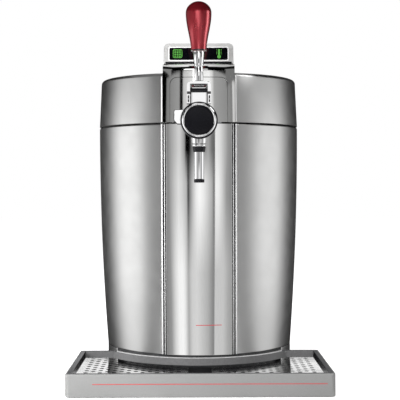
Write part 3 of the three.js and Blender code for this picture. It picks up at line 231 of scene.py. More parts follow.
def skin(name, rings, caps=(), loop=False):
    """A skin through closed rings of as many places each; a loop also joins the last to the first."""
    count = len(rings[0])
    faces = []
    for level in range(len(rings) if loop else len(rings) - 1):
        low, high = level * count, (level + 1) % len(rings) * count
        for step in range(count):
            after = (step + 1) % count
            faces.append((low + step, low + after, high + after, high + step))
    return made(name, [place for ring in rings for place in ring], faces + list(caps))


def lofted(name, rings):
    """A skin through closed rings, with both ends capped."""
    count = len(rings[0])
    top = (len(rings) - 1) * count
    return skin(name, rings, [tuple(range(count))[::-1], tuple(range(top, top + count))])


def sheet(name, rows):
    """A curved wall: each row holds an outer and an inner path of as many places."""
    rings = [list(outer) + list(inner)[::-1] for outer, inner in rows]
    count = len(rings[0])
    caps = []
    for base in (0, (len(rings) - 1) * count):
        for step in range(count // 2 - 1):
            across = count - 1 - step
            caps.append((base + step, base + step + 1, base + across - 1, base + across))
    return skin(name, rings, caps)


def placed(axis, u, v, along):
    return {"x": (along, u, v), "y": (u, along, v), "z": (u, v, along)}[axis]


def turned(name, axis, profile, centre=(0, 0, 0), steps=64):
    """A solid of revolution from pairs of radius and place along the axis."""
    rings = []
    for radius, along in profile:
        ring = []
        for step in range(steps):
            turn = 2 * math.pi * step / steps
            place = placed(axis, radius * math.cos(turn), radius * math.sin(turn), along)
            ring.append(tuple(p + c for p, c in zip(place, centre)))
        rings.append(ring)
    return skin(name, rings, loop=profile[0] == profile[-1])


def rod(name, axis, radius, low, high, centre=(0, 0, 0), steps=48):
    return turned(name, axis, [(0, low), (radius, low), (radius, high), (0, high)], centre, steps)


def prism(name, axis, outline, low, high):
    """An outline pushed out along an axis. It lists Y and Z, X and Z, or X and Y."""
    return lofted(name, [[placed(axis, u, v, along) for u, v in outline] for along in (low, high)])


def block(name, x, y, z):
    return prism(name, "z", oblong(*x, *y), *z)


def baked(piece):
    """The piece with its modifiers applied."""
    bpy.context.view_layer.update()
    graph = bpy.context.evaluated_depsgraph_get()
    mesh = bpy.data.meshes.new_from_object(piece.evaluated_get(graph))
    old = piece.data
    piece.modifiers.clear()
    piece.data = mesh
    bpy.data.meshes.remove(old)
    return piece


def combined(piece, others, operation):
    for other in others:
        modifier = piece.modifiers.new("join", "BOOLEAN")
        modifier.operation = operation
        modifier.solver = "EXACT"
        modifier.object = other
        baked(piece)
        bpy.data.objects.remove(other)
    return piece


def less(piece, *others):
    return combined(piece, others, "DIFFERENCE")


def plus(piece, *others):
    return combined(piece, others, "UNION")


def within(piece, *others):
    return combined(piece, others, "INTERSECT")


def soften(piece, width, segments=3, angle=35):
    """Rounds the sharp edges and keeps the flat faces flat in the shading."""
    if width:
        bevel = piece.modifiers.new("edges", "BEVEL")
        bevel.limit_method = "ANGLE"
        bevel.angle_limit = math.radians(angle)
        bevel.width = width * MM
        bevel.segments = segments
        bevel.miter_outer = "MITER_ARC"
        bevel.harden_normals = False
    piece.data.shade_smooth()
    weight = piece.modifiers.new("normals", "WEIGHTED_NORMAL")
    weight.keep_sharp = True
    weight.weight = 80
    return piece


def crease(piece, angle=35):
    """Marks the edges that stay sharp."""
    shape = bmesh.new()
    shape.from_mesh(piece.data)
    limit = math.radians(angle)
    for edge in shape.edges:
        edge.smooth = edge.calc_face_angle(0) < limit
    for face in shape.faces:
        face.smooth = True
    shape.to_mesh(piece.data)
    shape.free()
    return piece


# The body's outline, which narrows towards its foot and in the lid


def section(z, depth):
    below = min(max((SHELL_TOP - z) / (SHELL_TOP - SHELL_BOTTOM), 0), 1)
    above = max(z - LID_BOTTOM, 0)
    inset = DRAW_IN * below ** DRAW_POWER + LID_TAPER * above + depth
    return HALF_WIDTH - inset, FRONT_DEPTH - inset, CORNER - depth


def front_arc(size, z, start, end, steps):
    half, deep = size[0], size[1]
    return [(half * math.sin(a), WIDEST_Y - deep * math.cos(a), z) for a in spread(start, end, steps)]


def front_path(z, depth, start, end, steps=24, size_z=None):
    size = section(z if size_z is None else size_z, depth)
    return front_arc(size, z, math.asin(start / size[0]), math.asin(end / size[0]), steps)


def flank(size, z, start, steps):
    """The right side, from an angle on the front to the rear corner."""
    straight = [(size[0], y, z) for y in spread(WIDEST_Y, CORNER_Y - PANEL_GAP, 8)[1:]]
    return front_arc(size, z, start, math.pi / 2, steps) + straight


def side_path(z, depth, sign):
    size = section(z, depth)
    return [(sign * x, y, z) for x, y, z in flank(size, z, math.asin(SHELL_EDGE / size[0]), 32)]


def rear_path(z, depth, size_z=None):
    half, _, corner = section(z if size_z is None else size_z, depth)
    right = arc(half - corner, CORNER_Y, corner, 0, 90, 20)
    left = arc(corner - half, CORNER_Y, corner, 90, 180, 20)
    return [(x, y, z) for x, y in right + left]


def body_ring(z, depth, size_z=None):
    size = section(z if size_z is None else size_z, depth)
    return front_arc(size, z, -math.pi / 2, math.pi / 2, 72) + rear_path(z, depth, size_z)


def slab(name, half, outer, inner, low, high, steps=32):
    rows = []
    for z in spread(low, high, 6):
        rows.append([front_path(z, depth, -half, half, steps) for depth in (outer, inner)])
    return sheet(name, rows)


def arch(half, low, high, radius, steps=12):
    """An upright outline with round upper corners, as X and Z."""
    right = arc(half - radius, high - radius, radius, 0, 90, steps)
    left = arc(radius - half, high - radius, radius, 90, 180, steps)
    return [(half, low), *right, *left, (-half, low)]


# Materials


def feed(graph, socket, value):
    if isinstance(value, bpy.types.NodeSocket):
        graph.links.new(value, socket)
    else:
        socket.default_value = value


def add(graph, kind, inputs=None, **settings):
    """A shader node with its settings, and with its inputs set or linked."""
    node = graph.nodes.new(f"ShaderNode{kind}")
    for name, value in settings.items():
        setattr(node, name, value)
    for name, value in (inputs or {}).items():
        feed(graph, node.inputs[name], value)
    return node


def tree(name):
    material = bpy.data.materials.new(name)
    material.use_nodes = True
    return material, material.node_tree, material.node_tree.nodes["Principled BSDF"]


def noise(graph, scale, detail, stretch=None):
    source = add(graph, "TexCoord").outputs["Object"]
    if stretch:
        source = add(graph, "Mapping", {"Scale": stretch, "Vector": source}).outputs["Vector"]
    texture = add(graph, "TexNoise", {"Scale": scale, "Detail": detail, "Vector": source})
    return texture.outputs["Fac"]


def span(graph, source, low, high, start=0.3, end=0.7):
    inputs = {"From Min": start, "From Max": end, "To Min": low, "To Max": high, "Value": source}
    return add(graph, "MapRange", inputs).outputs["Result"]


def gradient(graph, source, stops):
    """Colours that follow a number from 0 to 1."""
    node = add(graph, "ValToRGB", {"Fac": source})
    elements = node.color_ramp.elements
    while len(elements) < len(stops):
        elements.new(0.5)
    for element, (place, colour) in zip(elements, stops):
        element.position = place
        element.color = (*colour, 1)
    return node.outputs["Color"]


def finish(name, colour, metal, rough, tone, rough_span, tone_scale=25, grain=None, stretch=None,
           coat=0, coat_rough=0.05, level=None, wear=None):
    """A finish whose tone and gloss vary a little, with a fine grain in its surface."""
    material, graph, shader = tree(name)
    shader.inputs["Metallic"].default_value = metal
    if coat:
        shader.inputs["Coat Weight"].default_value = coat
        shader.inputs["Coat Roughness"].default_value = coat_rough
    if level is not None:
        shader.inputs["Specular IOR Level"].default_value = level
    darker = tuple(value * (1 - tone) for value in colour)
    lighter = tuple(min(value * (1 + tone), 1) for value in colour)
    paint = gradient(graph, noise(graph, tone_scale, 5, stretch), [(0.35, darker), (0.65, lighter)])
    if wear:
        edges = add(graph, "NewGeometry").outputs["Pointiness"]
        worn = gradient(graph, edges, [(0.53, (0, 0, 0)), (0.6, (1, 1, 1))])
        paint = add(graph, "Mix", {0: worn, 6: paint, 7: (*wear, 1)}, data_type="RGBA").outputs[2]
    feed(graph, shader.inputs["Base Color"], paint)
    gloss = span(graph, noise(graph, 60, 3), max(rough - rough_span, 0.01), rough + rough_span)
    feed(graph, shader.inputs["Roughness"], gloss)
    if grain:
        scale, strength, distance = grain
        height = noise(graph, scale, 2, stretch)
        bump = add(graph, "Bump", {"Strength": strength, "Distance": distance * MM, "Height": height})
        feed(graph, shader.inputs["Normal"], bump.outputs["Normal"])
    looks[name] = material


def glow(name, colour, strength):
    """A lit mark whose brightness varies slightly over its face."""
    material, graph, shader = tree(name)
    shader.inputs["Roughness"].default_value = 0.5
    shader.inputs["Emission Strength"].default_value = strength
    dim = tuple(value * 0.75 for value in colour)
    lit = gradient(graph, noise(graph, 400, 2), [(0.35, dim), (0.65, colour)])
    feed(graph, shader.inputs["Emission Color"], lit)
    feed(graph, shader.inputs["Base Color"], lit)
    looks[name] = material


UPRIGHT = (60, 60, 1)
PAINT = (1800, 0.08, 0.05)
MOULDED = (1300, 0.2, 0.1)
looks = {}
# Each gives its colour, metal, roughness, tone's spread, roughness's spread and the tone's scale.
finish("satin_silver", (0.62, 0.62, 0.615), 1, 0.31, 0.025, 0.03, grain=(2200, 0.05, 0.05))
finish("polished_steel", (0.8, 0.8, 0.795), 1, 0.045, 0.02, 0.02, grain=(120, 0.01, 0.01), stretch=UPRIGHT)
finish("polished_silver", (0.8, 0.8, 0.79), 1, 0.06, 0.02, 0.015)
finish("grid_steel", (0.88, 0.88, 0.88), 1, 0.09, 0.03, 0.03, grain=(300, 0.03, 0.02))
finish("silver_paint", (0.46, 0.46, 0.455), 0.9, 0.36, 0.05, 0.04, 1200, grain=PAINT)
finish("chrome_trim", (0.88, 0.88, 0.885), 1, 0.035, 0.015, 0.015)
finish("plain_steel", (0.5, 0.51, 0.53), 1, 0.33, 0.06, 0.06, 80, grain=(700, 0.1, 0.05))
finish("display_silver", (0.47, 0.47, 0.465), 0.4, 0.4, 0.04, 0.04, 1200, grain=PAINT)
# A much lighter copy of the display's silver: a painted highlight for the lip round the window.
finish("painted_highlight_lip", (0.86, 0.86, 0.855), 0.3, 0.35, 0.03, 0.03, 1200)
finish("fascia_silver", (0.205, 0.206, 0.204), 0.15, 0.45, 0.04, 0.04, 1200, grain=PAINT)
finish("tub_steel", (0.36, 0.36, 0.365), 1, 0.2, 0.08, 0.05, 600, grain=(1300, 0.12, 0.06))
# Light grey and mostly not metal: a painted highlight for the shell and lid edges, the bead beside the
# column, the thumb tab and the tray's rear lip.
finish("painted_highlight", (0.64, 0.64, 0.64), 0.35, 0.3, 0.03, 0.03, 900)
finish("rear_grey", (0.13, 0.13, 0.132), 0.3, 0.4, 0.1, 0.05, 500, grain=MOULDED)
finish("badge_black", (0.004, 0.004, 0.005), 0, 0.2, 0.15, 0.03, 40, level=0.08)
finish("deep_black", (0.005, 0.005, 0.006), 0, 0.25, 0.15, 0.04, 40, level=0.2)
finish("red_handle", (0.36, 0.018, 0.03), 0.85, 0.3, 0.06, 0.04, 900, coat=1, coat_rough=0.2)
finish("black_plastic", (0.013, 0.013, 0.014), 0, 0.45, 0.15, 0.06, 40, grain=(1500, 0.2, 0.08),
       wear=(0.05, 0.05, 0.052))
finish("gloss_black", (0.006, 0.006, 0.007), 0, 0.12, 0.15, 0.03, 40, coat=0.6)
finish("smoked_window", (0.002, 0.002, 0.003), 0, 0.06, 0.2, 0.02, 40, coat=0.4)
finish("grey_plastic", (0.07, 0.07, 0.073), 0.1, 0.46, 0.12, 0.06, 500, grain=(1300, 0.3, 0.1),
       wear=(0.16, 0.16, 0.165))
finish("white_plastic", (0.66, 0.66, 0.65), 0, 0.42, 0.03, 0.05, 30, grain=(1200, 0.1, 0.05))
finish("rubber", (0.018, 0.018, 0.018), 0, 0.8, 0.2, 0.08, 200, grain=(900, 0.4, 0.1))
finish("foam", (0.75, 0.72, 0.62), 0, 0.9, 0.08, 0.05, 350, grain=(450, 0.7, 0.5))
finish("aluminium", (0.6, 0.61, 0.62), 1, 0.34, 0.06, 0.06, 60, grain=(160, 0.15, 0.05), stretch=UPRIGHT)
finish("board", (0.02, 0.1, 0.045), 0, 0.5, 0.25, 0.1, 180, grain=(400, 0.3, 0.1))
finish("ceramic", (0.82, 0.81, 0.78), 0, 0.4, 0.03, 0.05, 50, grain=(900, 0.1, 0.05))
finish("red_line", (0.4, 0.03, 0.035), 0, 0.4, 0.08, 0.05, 300)
glow("lit_green", (0.06, 0.24, 0.035), 0.5)


def dress(piece, slot, body, *replaced, look=None):
    """Gives the piece its finish and its body, and hides the solids that it stands for."""
    piece.data.materials.clear()
    piece.data.materials.append(looks[look or slot])
    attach(piece, body)
    if replaced:
        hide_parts(*replaced)
    return piece


# Body


def body_wall(name, path_at, outer, inner, levels=30):
    rows = [(path_at(z, outer), path_at(z, inner)) for z in spread(SHELL_BOTTOM, SHELL_TOP, levels)]
    return sheet(name, rows)


def column_path(z, depth):
    return front_path(z, depth, -COLUMN_HALF, COLUMN_HALF, 40)


def make_body():
    for side, sign in SIDES:
        shell = body_wall(f"shell_{side}", lambda z, depth: side_path(z, depth, sign), 0, SHELL_WALL)
        dress(soften(shell, 1.5, 4), "satin_silver", "cooler_body", f"side_shell_{side}")
        make_trim(side, sign)
        make_skirt(side, sign)
    column = body_wall("column", column_path, -STAND_OFF, SHELL_WALL - STAND_OFF)
    dress(soften(column, 0.4), "polished_steel", "cooler_body", "front_column")


def long_strip(name, side, sign, levels, centre, reach, depths, look, body, *replaced):
    """A low rounded strip that runs up the front at one place on each side."""
    foot, crest, back = depths
    rings = []
    for z in levels:
        places = []
        for angle in spread(0, math.pi, 10):
            places.append((centre - reach * math.cos(angle), foot + (crest - foot) * math.sin(angle)))
        places += [(centre + reach, back), (centre - reach, back)]
        rings.append([front_path(z, depth, sign * x, sign * x, 1)[0] for x, depth in places])
    strip = soften(lofted(f"{name}_{side}", rings), 0)
    dress(strip, "silver_paint", body, *replaced, look=look)


def make_trim(side, sign):
    """A narrow bead with a painted highlight on a black strip that paints the shaded gaps beside the column,
    and painted highlights along the edges of the shell and lid.
    """
    levels = spread(SHELL_BOTTOM, SHELL_TOP, 30)
    middle = (COLUMN_HALF + SHELL_EDGE) / 2
    half = (SHELL_EDGE - COLUMN_HALF) / 2 - SEAT
    # The black strip paints shade into the gaps on each side of the bead.
    long_strip("trim", side, sign, levels, middle, half, (0.9, 0.9, 1.5), "deep_black", "cooler_body",
               f"column_trim_{side}")
    # The bead's light grey is a painted highlight.
    long_strip("bead", side, sign, levels, 45.5, 0.68, (0.8, -0.7, 1.2), "painted_highlight", "cooler_body")
    # A light strip on the shell's rounded edge: a painted highlight.
    long_strip("edge", side, sign, levels, 49.1, 1, (0.1, -0.3, 0.5), "painted_highlight", "cooler_body")
    # The same painted highlight along the lid's edge.
    lid_levels = spread(LID_BOTTOM + 0.9, LID_TOP - LID_CORNER, 8)
    long_strip("lid_edge", side, sign, lid_levels, 49, 0.9, (0.1, -0.25, 0.5), "painted_highlight", "lid")


def make_skirt(side, sign):
    """The shell's skin carried on down beside the base, behind the tray."""
    rows = []
    for z in (12, 18, 24, SHELL_BOTTOM - SEAT):
        paths = [flank(section(SHELL_BOTTOM, depth), z, math.radians(60), 16) for depth in (0, 0.8)]
        rows.append([[(sign * x, y, z) for x, y, z in path] for path in paths])
    skirt = soften(sheet(f"skirt_{side}", rows), 0)
    dress(skirt, "satin_silver", "cooler_body")


def make_rear():
    cover = body_wall("rear_wall", rear_path, 0, SHELL_WALL, 24)
    through = (REAR_Y - SHELL_WALL - OVER, REAR_Y + OVER)
    less(
        cover,
        block("tool", about(0, VENT_HALF), through, (VENT_LOW, VENT_HIGH)),
        block("tool", about(-FITTING_X, INLET_WIDE + SEAT), through, about(PLUG_Z, INLET_HIGH + SEAT)),
        block("tool", about(FITTING_X, SWITCH_WIDE + SEAT), through, about(PLUG_Z, SWITCH_HIGH + SEAT)),
    )
    dress(soften(cover, 0.8), "black_plastic", "cooler_body", "rear_cover")
    low, high = REAR_Y - 11.4, REAR_Y - 2.9
    for side, sign in SIDES:
        for z in (249.7, 296.5):
            profile = rounded([(0, low), (3, low), (3.4, high), (0, high)], 0.4, False)
            boss = turned(f"boss_{side}_{int(z)}", "y", profile, (sign * BOSS_X, 0, z), 24)
            dress(soften(boss, 0), "black_plastic", "cooler_body")
    grille = block("grille", about(0, VENT_HALF - SEAT), (REAR_Y - SHELL_WALL, FITTING_Y),
                   (VENT_LOW + SEAT, VENT_HIGH - SEAT))
    border = 4
    rim = oblong(*about(0, VENT_HALF + border), VENT_LOW - border, VENT_HIGH + border)
    plus(grille, prism("tool", "y", rounded(rim, 5, True, 6), FITTING_Y - 0.1, FITTING_Y + 1.6))
    pitch = (VENT_HIGH - VENT_LOW - 6) / VENT_SLOTS
    for slot in range(VENT_SLOTS):
        z = (VENT_LOW + VENT_HIGH) / 2 + (slot - VENT_SLOTS // 2) * pitch
        hole = rounded(oblong(*about(0, VENT_HALF - 6), *about(z, 2.5)), 2.4, True, 5)
        less(grille, prism("tool", "y", hole, *through))
    dress(soften(grille, 0.5, 2), "black_plastic", "cooler_body", "vent_grille")


def screw(name, place, radius, body, slot):
    """A low round head with a cross recess, facing the front along Y."""
    x, y, z = place
    profile = [(0, y), (radius * 0.7, y + 0.05), (radius * 0.93, y + 0.3), (radius, y + 0.7),
               (radius, y + 1.4), (0, y + 1.4)]
    head = turned(name, "y", profile, (x, 0, z), 32)
    arm, thin = radius * 0.55, radius * 0.14
    deep = about(y, 0.5)
    for wide, high in ((arm, thin), (thin, arm)):
        less(head, block("tool", about(x, wide), deep, about(z, high)))
    dress(crease(head), slot, body)


def make_rear_fittings():
    face = FITTING_Y + 2
    inside = FITTING_Y + 0.1
    lip, wall, inlet_depth, well_depth = 4, 3, 25, 17

    def inlet_outline(grow):
        return oblong(*about(-FITTING_X, INLET_WIDE + grow), *about(PLUG_Z, INLET_HIGH + grow))

    def switch_outline(grow):
        return oblong(*about(FITTING_X, SWITCH_WIDE + grow), *about(PLUG_Z, SWITCH_HIGH + grow))

    inlet = prism("inlet", "y", rounded(inlet_outline(lip), 5, True, 6), FITTING_Y, face)
    plus(inlet, prism("tool", "y", inlet_outline(0), face - inlet_depth, inside))
    well = rounded(inlet_outline(-wall), [0.6, 0.6, 4.2, 4.2], True, 5)
    less(inlet, prism("tool", "y", well, face - well_depth, face + OVER))
    dress(soften(inlet, 0.5), "black_plastic", "cooler_body", "power_inlet")
    deep = (face - well_depth - 0.2, face - 4)
    for name, across, up in (("live", -6.5, -1.5), ("neutral", 6.5, -1.5), ("earth", 0, 2.5)):
        pin = block(f"pin_{name}", about(across - FITTING_X, 1), deep, about(PLUG_Z + up, 2))
        dress(soften(pin, 0.4, 2), "plain_steel", "cooler_body")
    lip, wall, bezel_depth = 3, 2, 16
    bezel = prism("bezel", "y", rounded(switch_outline(lip), 2.5, True, 5), FITTING_Y, face)
    plus(bezel, prism("tool", "y", switch_outline(0), face - bezel_depth, inside))
    less(bezel, prism("tool", "y", switch_outline(-wall), face - bezel_depth + wall, face + OVER))
    dress(soften(bezel, 0.5), "black_plastic", "cooler_body", "switch_bezel")


# Lid


def lid_rings(depth, bottom):
    corner_z = LID_TOP - LID_CORNER
    rings = [body_ring(z, depth) for z in spread(bottom, corner_z, 8)]
    size = LID_CORNER - depth
    for angle in spread(0, math.pi / 2, 12)[1:]:
        inset = depth + size * (1 - math.cos(angle))
        rings.append(body_ring(corner_z + size * math.sin(angle), inset, corner_z))
    rim = rings[-1]
    for share in spread(1, 0.05, 14)[1:]:
        rise = LID_DOME * (1 - max(share, 1 / 3) ** 2)
        rings.append([(x * share, CHAMBER_Y + (y - CHAMBER_Y) * share, z + rise) for x, y, z in rim])
    return rings


def make_lid_shell():
    shell = lofted("lid_cover", lid_rings(0, LID_BOTTOM))
    less(shell, lofted("tool", lid_rings(LID_WALL, LID_BOTTOM - OVER)))
    less(shell, slab("tool", SHELL_EDGE, -OVER, PANEL_INNER + SEAT, LID_BOTTOM - 1, PANEL_TOP + OVER))
    dress(soften(shell, 0.9), "satin_silver", "lid", "lid_shell")


def make_lid_panel():
    fillet_z = PANEL_TOP - PANEL_FILLET
    inner_fillet = PANEL_FILLET - LID_WALL

    def row(*ends):
        across = about(0, PANEL_HALF)
        return [front_path(z, depth - STAND_OFF, *across, 48, min(z, fillet_z)) for z, depth in ends]

    rows = [row((z, 0), (z, LID_WALL)) for z in spread(LID_BOTTOM, fillet_z, 10)[:-1]]
    for angle in spread(0, math.pi / 2, 14):
        rise, back = math.sin(angle), 1 - math.cos(angle)
        rows.append(row((fillet_z + PANEL_FILLET * rise, PANEL_FILLET * back),
                        (fillet_z + inner_fillet * rise, LID_WALL + inner_fillet * back)))
    panel = sheet("lid_front", rows)
    notch = arch(PLATE_HALF + PANEL_GAP, LID_BOTTOM - OVER, PLATE_TOP + PANEL_GAP, PLATE_CORNER + PANEL_GAP)
    less(panel, prism("tool", "y", notch, FRONT_Y - OVER, 0))
    dress(soften(panel, 0.7), "polished_silver", "lid", "lid_front_panel")


def spine_outline(inset):
    top = PANEL_TOP - inset
    rear = REAR_Y - SPINE_END - inset
    front = FRONT_Y + PANEL_INNER
    low = LID_TOP - LID_CORNER
    return [(front, low), (rear + SPINE_SLOPE, low), (rear + SPINE_SLOPE, LID_TOP), (rear, top - SPINE_DROP),
            (FRONT_Y + SPINE_LEVEL, top), (front, top)]


def make_spine():
    shell = prism("spine", "x", spine_outline(0), *about(0, PANEL_HALF))
    less(
        shell,
        slab("tool", PANEL_HALF + OVER, -OVER, PANEL_INNER + SEAT, LID_BOTTOM, PANEL_TOP + OVER),
        lofted("tool", lid_rings(-SEAT, LID_BOTTOM)),
        prism("tool", "x", spine_outline(SPINE_WALL), *about(0, PANEL_HALF - SPINE_WALL)),
    )
    dress(soften(shell, 1.4, 4), "satin_silver", "lid", "spine_cover")


def display_outline(inset):
    front, tail = DISPLAY_Y + inset, DISPLAY_Y + DISPLAY_DEPTH - inset
    lift = DISPLAY_HEIGHT - 7
    top = DISPLAY_LOW + DISPLAY_HEIGHT - inset
    return [(front, DISPLAY_LOW), (front + DISPLAY_LEAN * lift / DISPLAY_HEIGHT, DISPLAY_LOW + lift),
            (front + DISPLAY_LEAN + 3.5, top), (DISPLAY_Y + 14, top), (tail, DISPLAY_LOW + 3),
            (tail, DISPLAY_LOW)]


def face_place(rise, depth):
    return DISPLAY_Y + depth + DISPLAY_LEAN / DISPLAY_HEIGHT * rise, DISPLAY_LOW + rise


def leaning(name, outline, front, back):
    """An outline of X and rise, as a plate that leans back with the display's face."""
    return lofted(name, [[(x, *face_place(rise, depth)) for x, rise in outline] for depth in (front, back)])


def window_outline(grow, radius):
    outline = oblong(*about(0, WINDOW_HALF + grow), WINDOW_LOW - grow, WINDOW_HIGH + grow)
    return rounded(outline, radius, True, 6)


def make_display():
    housing = prism("display_frame", "x", display_outline(0), *about(0, DISPLAY_HALF))
    mask = arch(DISPLAY_HALF, DISPLAY_LOW - OVER, DISPLAY_LOW + DISPLAY_HEIGHT, 6.5)
    within(housing, prism("tool", "y", mask, DISPLAY_Y - OVER, DISPLAY_Y + DISPLAY_DEPTH + OVER))
    wall = 3
    inner = about(0, DISPLAY_HALF - wall)
    less(
        housing,
        prism("tool", "x", display_outline(wall), *inner),
        block("tool", inner, (DISPLAY_Y, FRONT_Y + 31), (LID_TOP, DISPLAY_LOW + 0.1)),
        leaning("tool", window_outline(SEAT, 2.3), -OVER, 4),
    )
    dress(soften(housing, 1.1, 4), "silver_paint", "lid", "display_housing", look="display_silver")
    # The near-white lip round the window is a painted highlight.
    lip = leaning("window_lip", window_outline(1.5, 2.8), -0.5, 0.6)
    less(lip, leaning("tool", window_outline(0.1, 2.1), -2, 2))
    dress(soften(lip, 0.3, 2), "silver_paint", "lid", look="painted_highlight_lip")
    window = leaning("window", window_outline(0, 2), 0.1, WINDOW_WALL)
    dress(soften(window, 0.4), "smoked_window", "lid", "display_window")
    gasket = leaning("display_gasket", rounded(oblong(-44, 44, 0.1, 2.5), 0.3, True, 3), -0.2, 0.9)
    dress(crease(gasket), "smoked_window", "lid", look="deep_black")
    make_icons()


def make_icons():
    """A lit keg with level bars on the left and a lit thermometer on the right."""
    front, back = -0.05, 0.4
    keg_x, keg_low, keg_high, keg_half, keg_corner, keg_wall = -27.9, 7.8, 19.6, 6.2, 2.6, 0.8
    outlines = []
    for inset in (0, keg_wall):
        outline = oblong(*about(keg_x, keg_half - inset), keg_low + inset, keg_high - inset)
        outlines.append(rounded(outline, keg_corner - inset, True, 6))
    keg = leaning("keg_icon", outlines[0], front, back)
    parts = [less(keg, leaning("tool", outlines[1], front - 1, back + 1))]
    first_bar, bar_rise, bar_height, bar_step, bar_half = keg_low + 1.7, 2.35, 1.35, 3.1, 1.2
    for bar in range(4):
        low = first_bar + bar * bar_rise
        for part in range(3):
            outline = oblong(*about(keg_x + (part - 1) * bar_step, bar_half), low, low + bar_height)
            parts.append(leaning(f"keg_bar_{bar}_{part}", rounded(outline, 0.3, True, 3), front, back))
    cool_x, stem_half, stem_low, bulb_z, bulb_radius = 27.2, 1.3, 9.5, 9.4, 2.4
    stem = rounded(oblong(*about(cool_x, stem_half), stem_low, keg_high), [0, 0, 1.2, 1.2], True, 6)
    bulb = arc(cool_x, bulb_z, bulb_radius, 0, 342, 19)
    parts.append(plus(leaning("cold_icon", stem, front, back), leaning("tool", bulb, front, back)))
    first_tick, tick_rise, tick_height, tick_x, tick_half = 12.6, 2, 0.8, 3.05, 0.45
    for tick in range(4):
        low = first_tick + tick * tick_rise
        for side, sign in SIDES:
            outline = oblong(*about(cool_x + sign * tick_x, tick_half), low, low + tick_height)
            parts.append(leaning(f"cold_tick_{side}_{tick}", outline, front, back))
    for piece in parts:
        dress(crease(piece), "smoked_window", "lid", look="lit_green")


# Tap


def pipe_profile(inner, outer, low, high):
    """The closed profile of a straight tube."""
    outline = oblong(inner, outer, low, high)
    return outline + outline[:1]


def make_tap_plate():
    plate = slab("tap_face", PLATE_HALF, -STAND_OFF, PLATE_INNER, LID_BOTTOM, PLATE_TOP, 48)
    outline = arch(PLATE_HALF, LID_BOTTOM - OVER, PLATE_TOP, PLATE_CORNER)
    within(plate, prism("tool", "y", outline, FRONT_Y - OVER, 0))
    less(plate, rod("tool", "y", 7, FRONT_Y - OVER, -90, (0, 0, BORE_Z)))
    dress(soften(plate, 0.7), "polished_silver", "cooler_body", "tap_plate")


def make_tap_body():
    profile = rounded(oblong(0, BARREL_RADIUS, BARREL_FRONT, BARREL_REAR), 1.2, False)
    body = turned("tap_barrel", "y", profile, BARREL, 96)
    neck = rounded(oblong(*about(0, NECK_HALF), NECK_FRONT, NECK_REAR), [1.6, 1.6, 0, 0], True, 6)
    plus(
        body,
        prism("tool", "z", neck, NECK_BOTTOM, NECK_TOP),
        rod("tool", "z", STUB_RADIUS, STUB_BOTTOM, TAP_Z, (0, SPOUT_Y, 0)),
    )
    crank_half, slider_depth, cap_socket, cap_pin = 3.2, 6, 4.6, 5.3
    slider_front = LEVER_Y + crank_half + SEAT
    slot_rear = slider_front + slider_depth + SEAT
    slot = about(0, SLOT_HALF)
    less(
        body,
        rod("tool", "y", BORE_RADIUS, SPOUT_Y, NECK_REAR + OVER, (0, 0, BORE_Z), 24),
        rod("tool", "z", BORE_RADIUS, STUB_BOTTOM - OVER, BORE_Z, (0, SPOUT_Y, 0), 24),
        block("tool", slot, (slider_front - SEAT, slot_rear), (BORE_Z - BORE_RADIUS, NECK_TOP + OVER)),
        block("tool", slot, (SLOT_FRONT, slot_rear), (PIVOT_Z - 8, NECK_TOP + OVER)),
        rod("tool", "x", SHAFT_RADIUS, -ARM_OUTER, ARM_OUTER, PIVOT, 32),
        rod("tool", "y", cap_pin, BARREL_FRONT - OVER, BARREL_FRONT + cap_socket, BARREL, 32),
    )
    dress(soften(crease(body, 30), 0), "chrome_trim", "cooler_body", "tap_body")


def make_neck_cap():
    cap = turned("neck_cover", "x", rounded(oblong(0, CAP_RADIUS, *about(0, NECK_HALF)), 1, False), PIVOT, 96)
    within(cap, block("tool", about(0, 20), about(LEVER_Y, 20), (NECK_TOP + SEAT, PIVOT_Z + 20)))
    less(cap, block("tool", about(0, SLOT_HALF), (SLOT_FRONT, LEVER_Y + 9.8), (NECK_BOTTOM, PIVOT_Z + 9)))
    dress(soften(cap, 0.5, 3, 40), "gloss_black", "cooler_body", "neck_cap", look="deep_black")
    low, height, half = 380, 3.6, 9
    outlines = []
    for inset, radius in ((0, 1.6), (0.8, 1)):
        outline = oblong(*about(0, half - inset), low + inset, low + height - inset)
        outlines.append(rounded(outline, radius, True, 6))
    slope_y = LEVER_Y - math.sqrt(CAP_RADIUS ** 2 - (low + height / 2 - PIVOT_Z) ** 2)
    inlay = prism("cap_inlay", "y", outlines[0], slope_y - 1.5, slope_y + 3)
    less(inlay, prism("tool", "y", outlines[1], slope_y - 4, slope_y + 6))
    within(inlay, rod("tool", "x", CAP_RADIUS + 0.15, -20, 20, PIVOT, 96))
    dress(crease(inlay), "chrome_trim", "cooler_body")


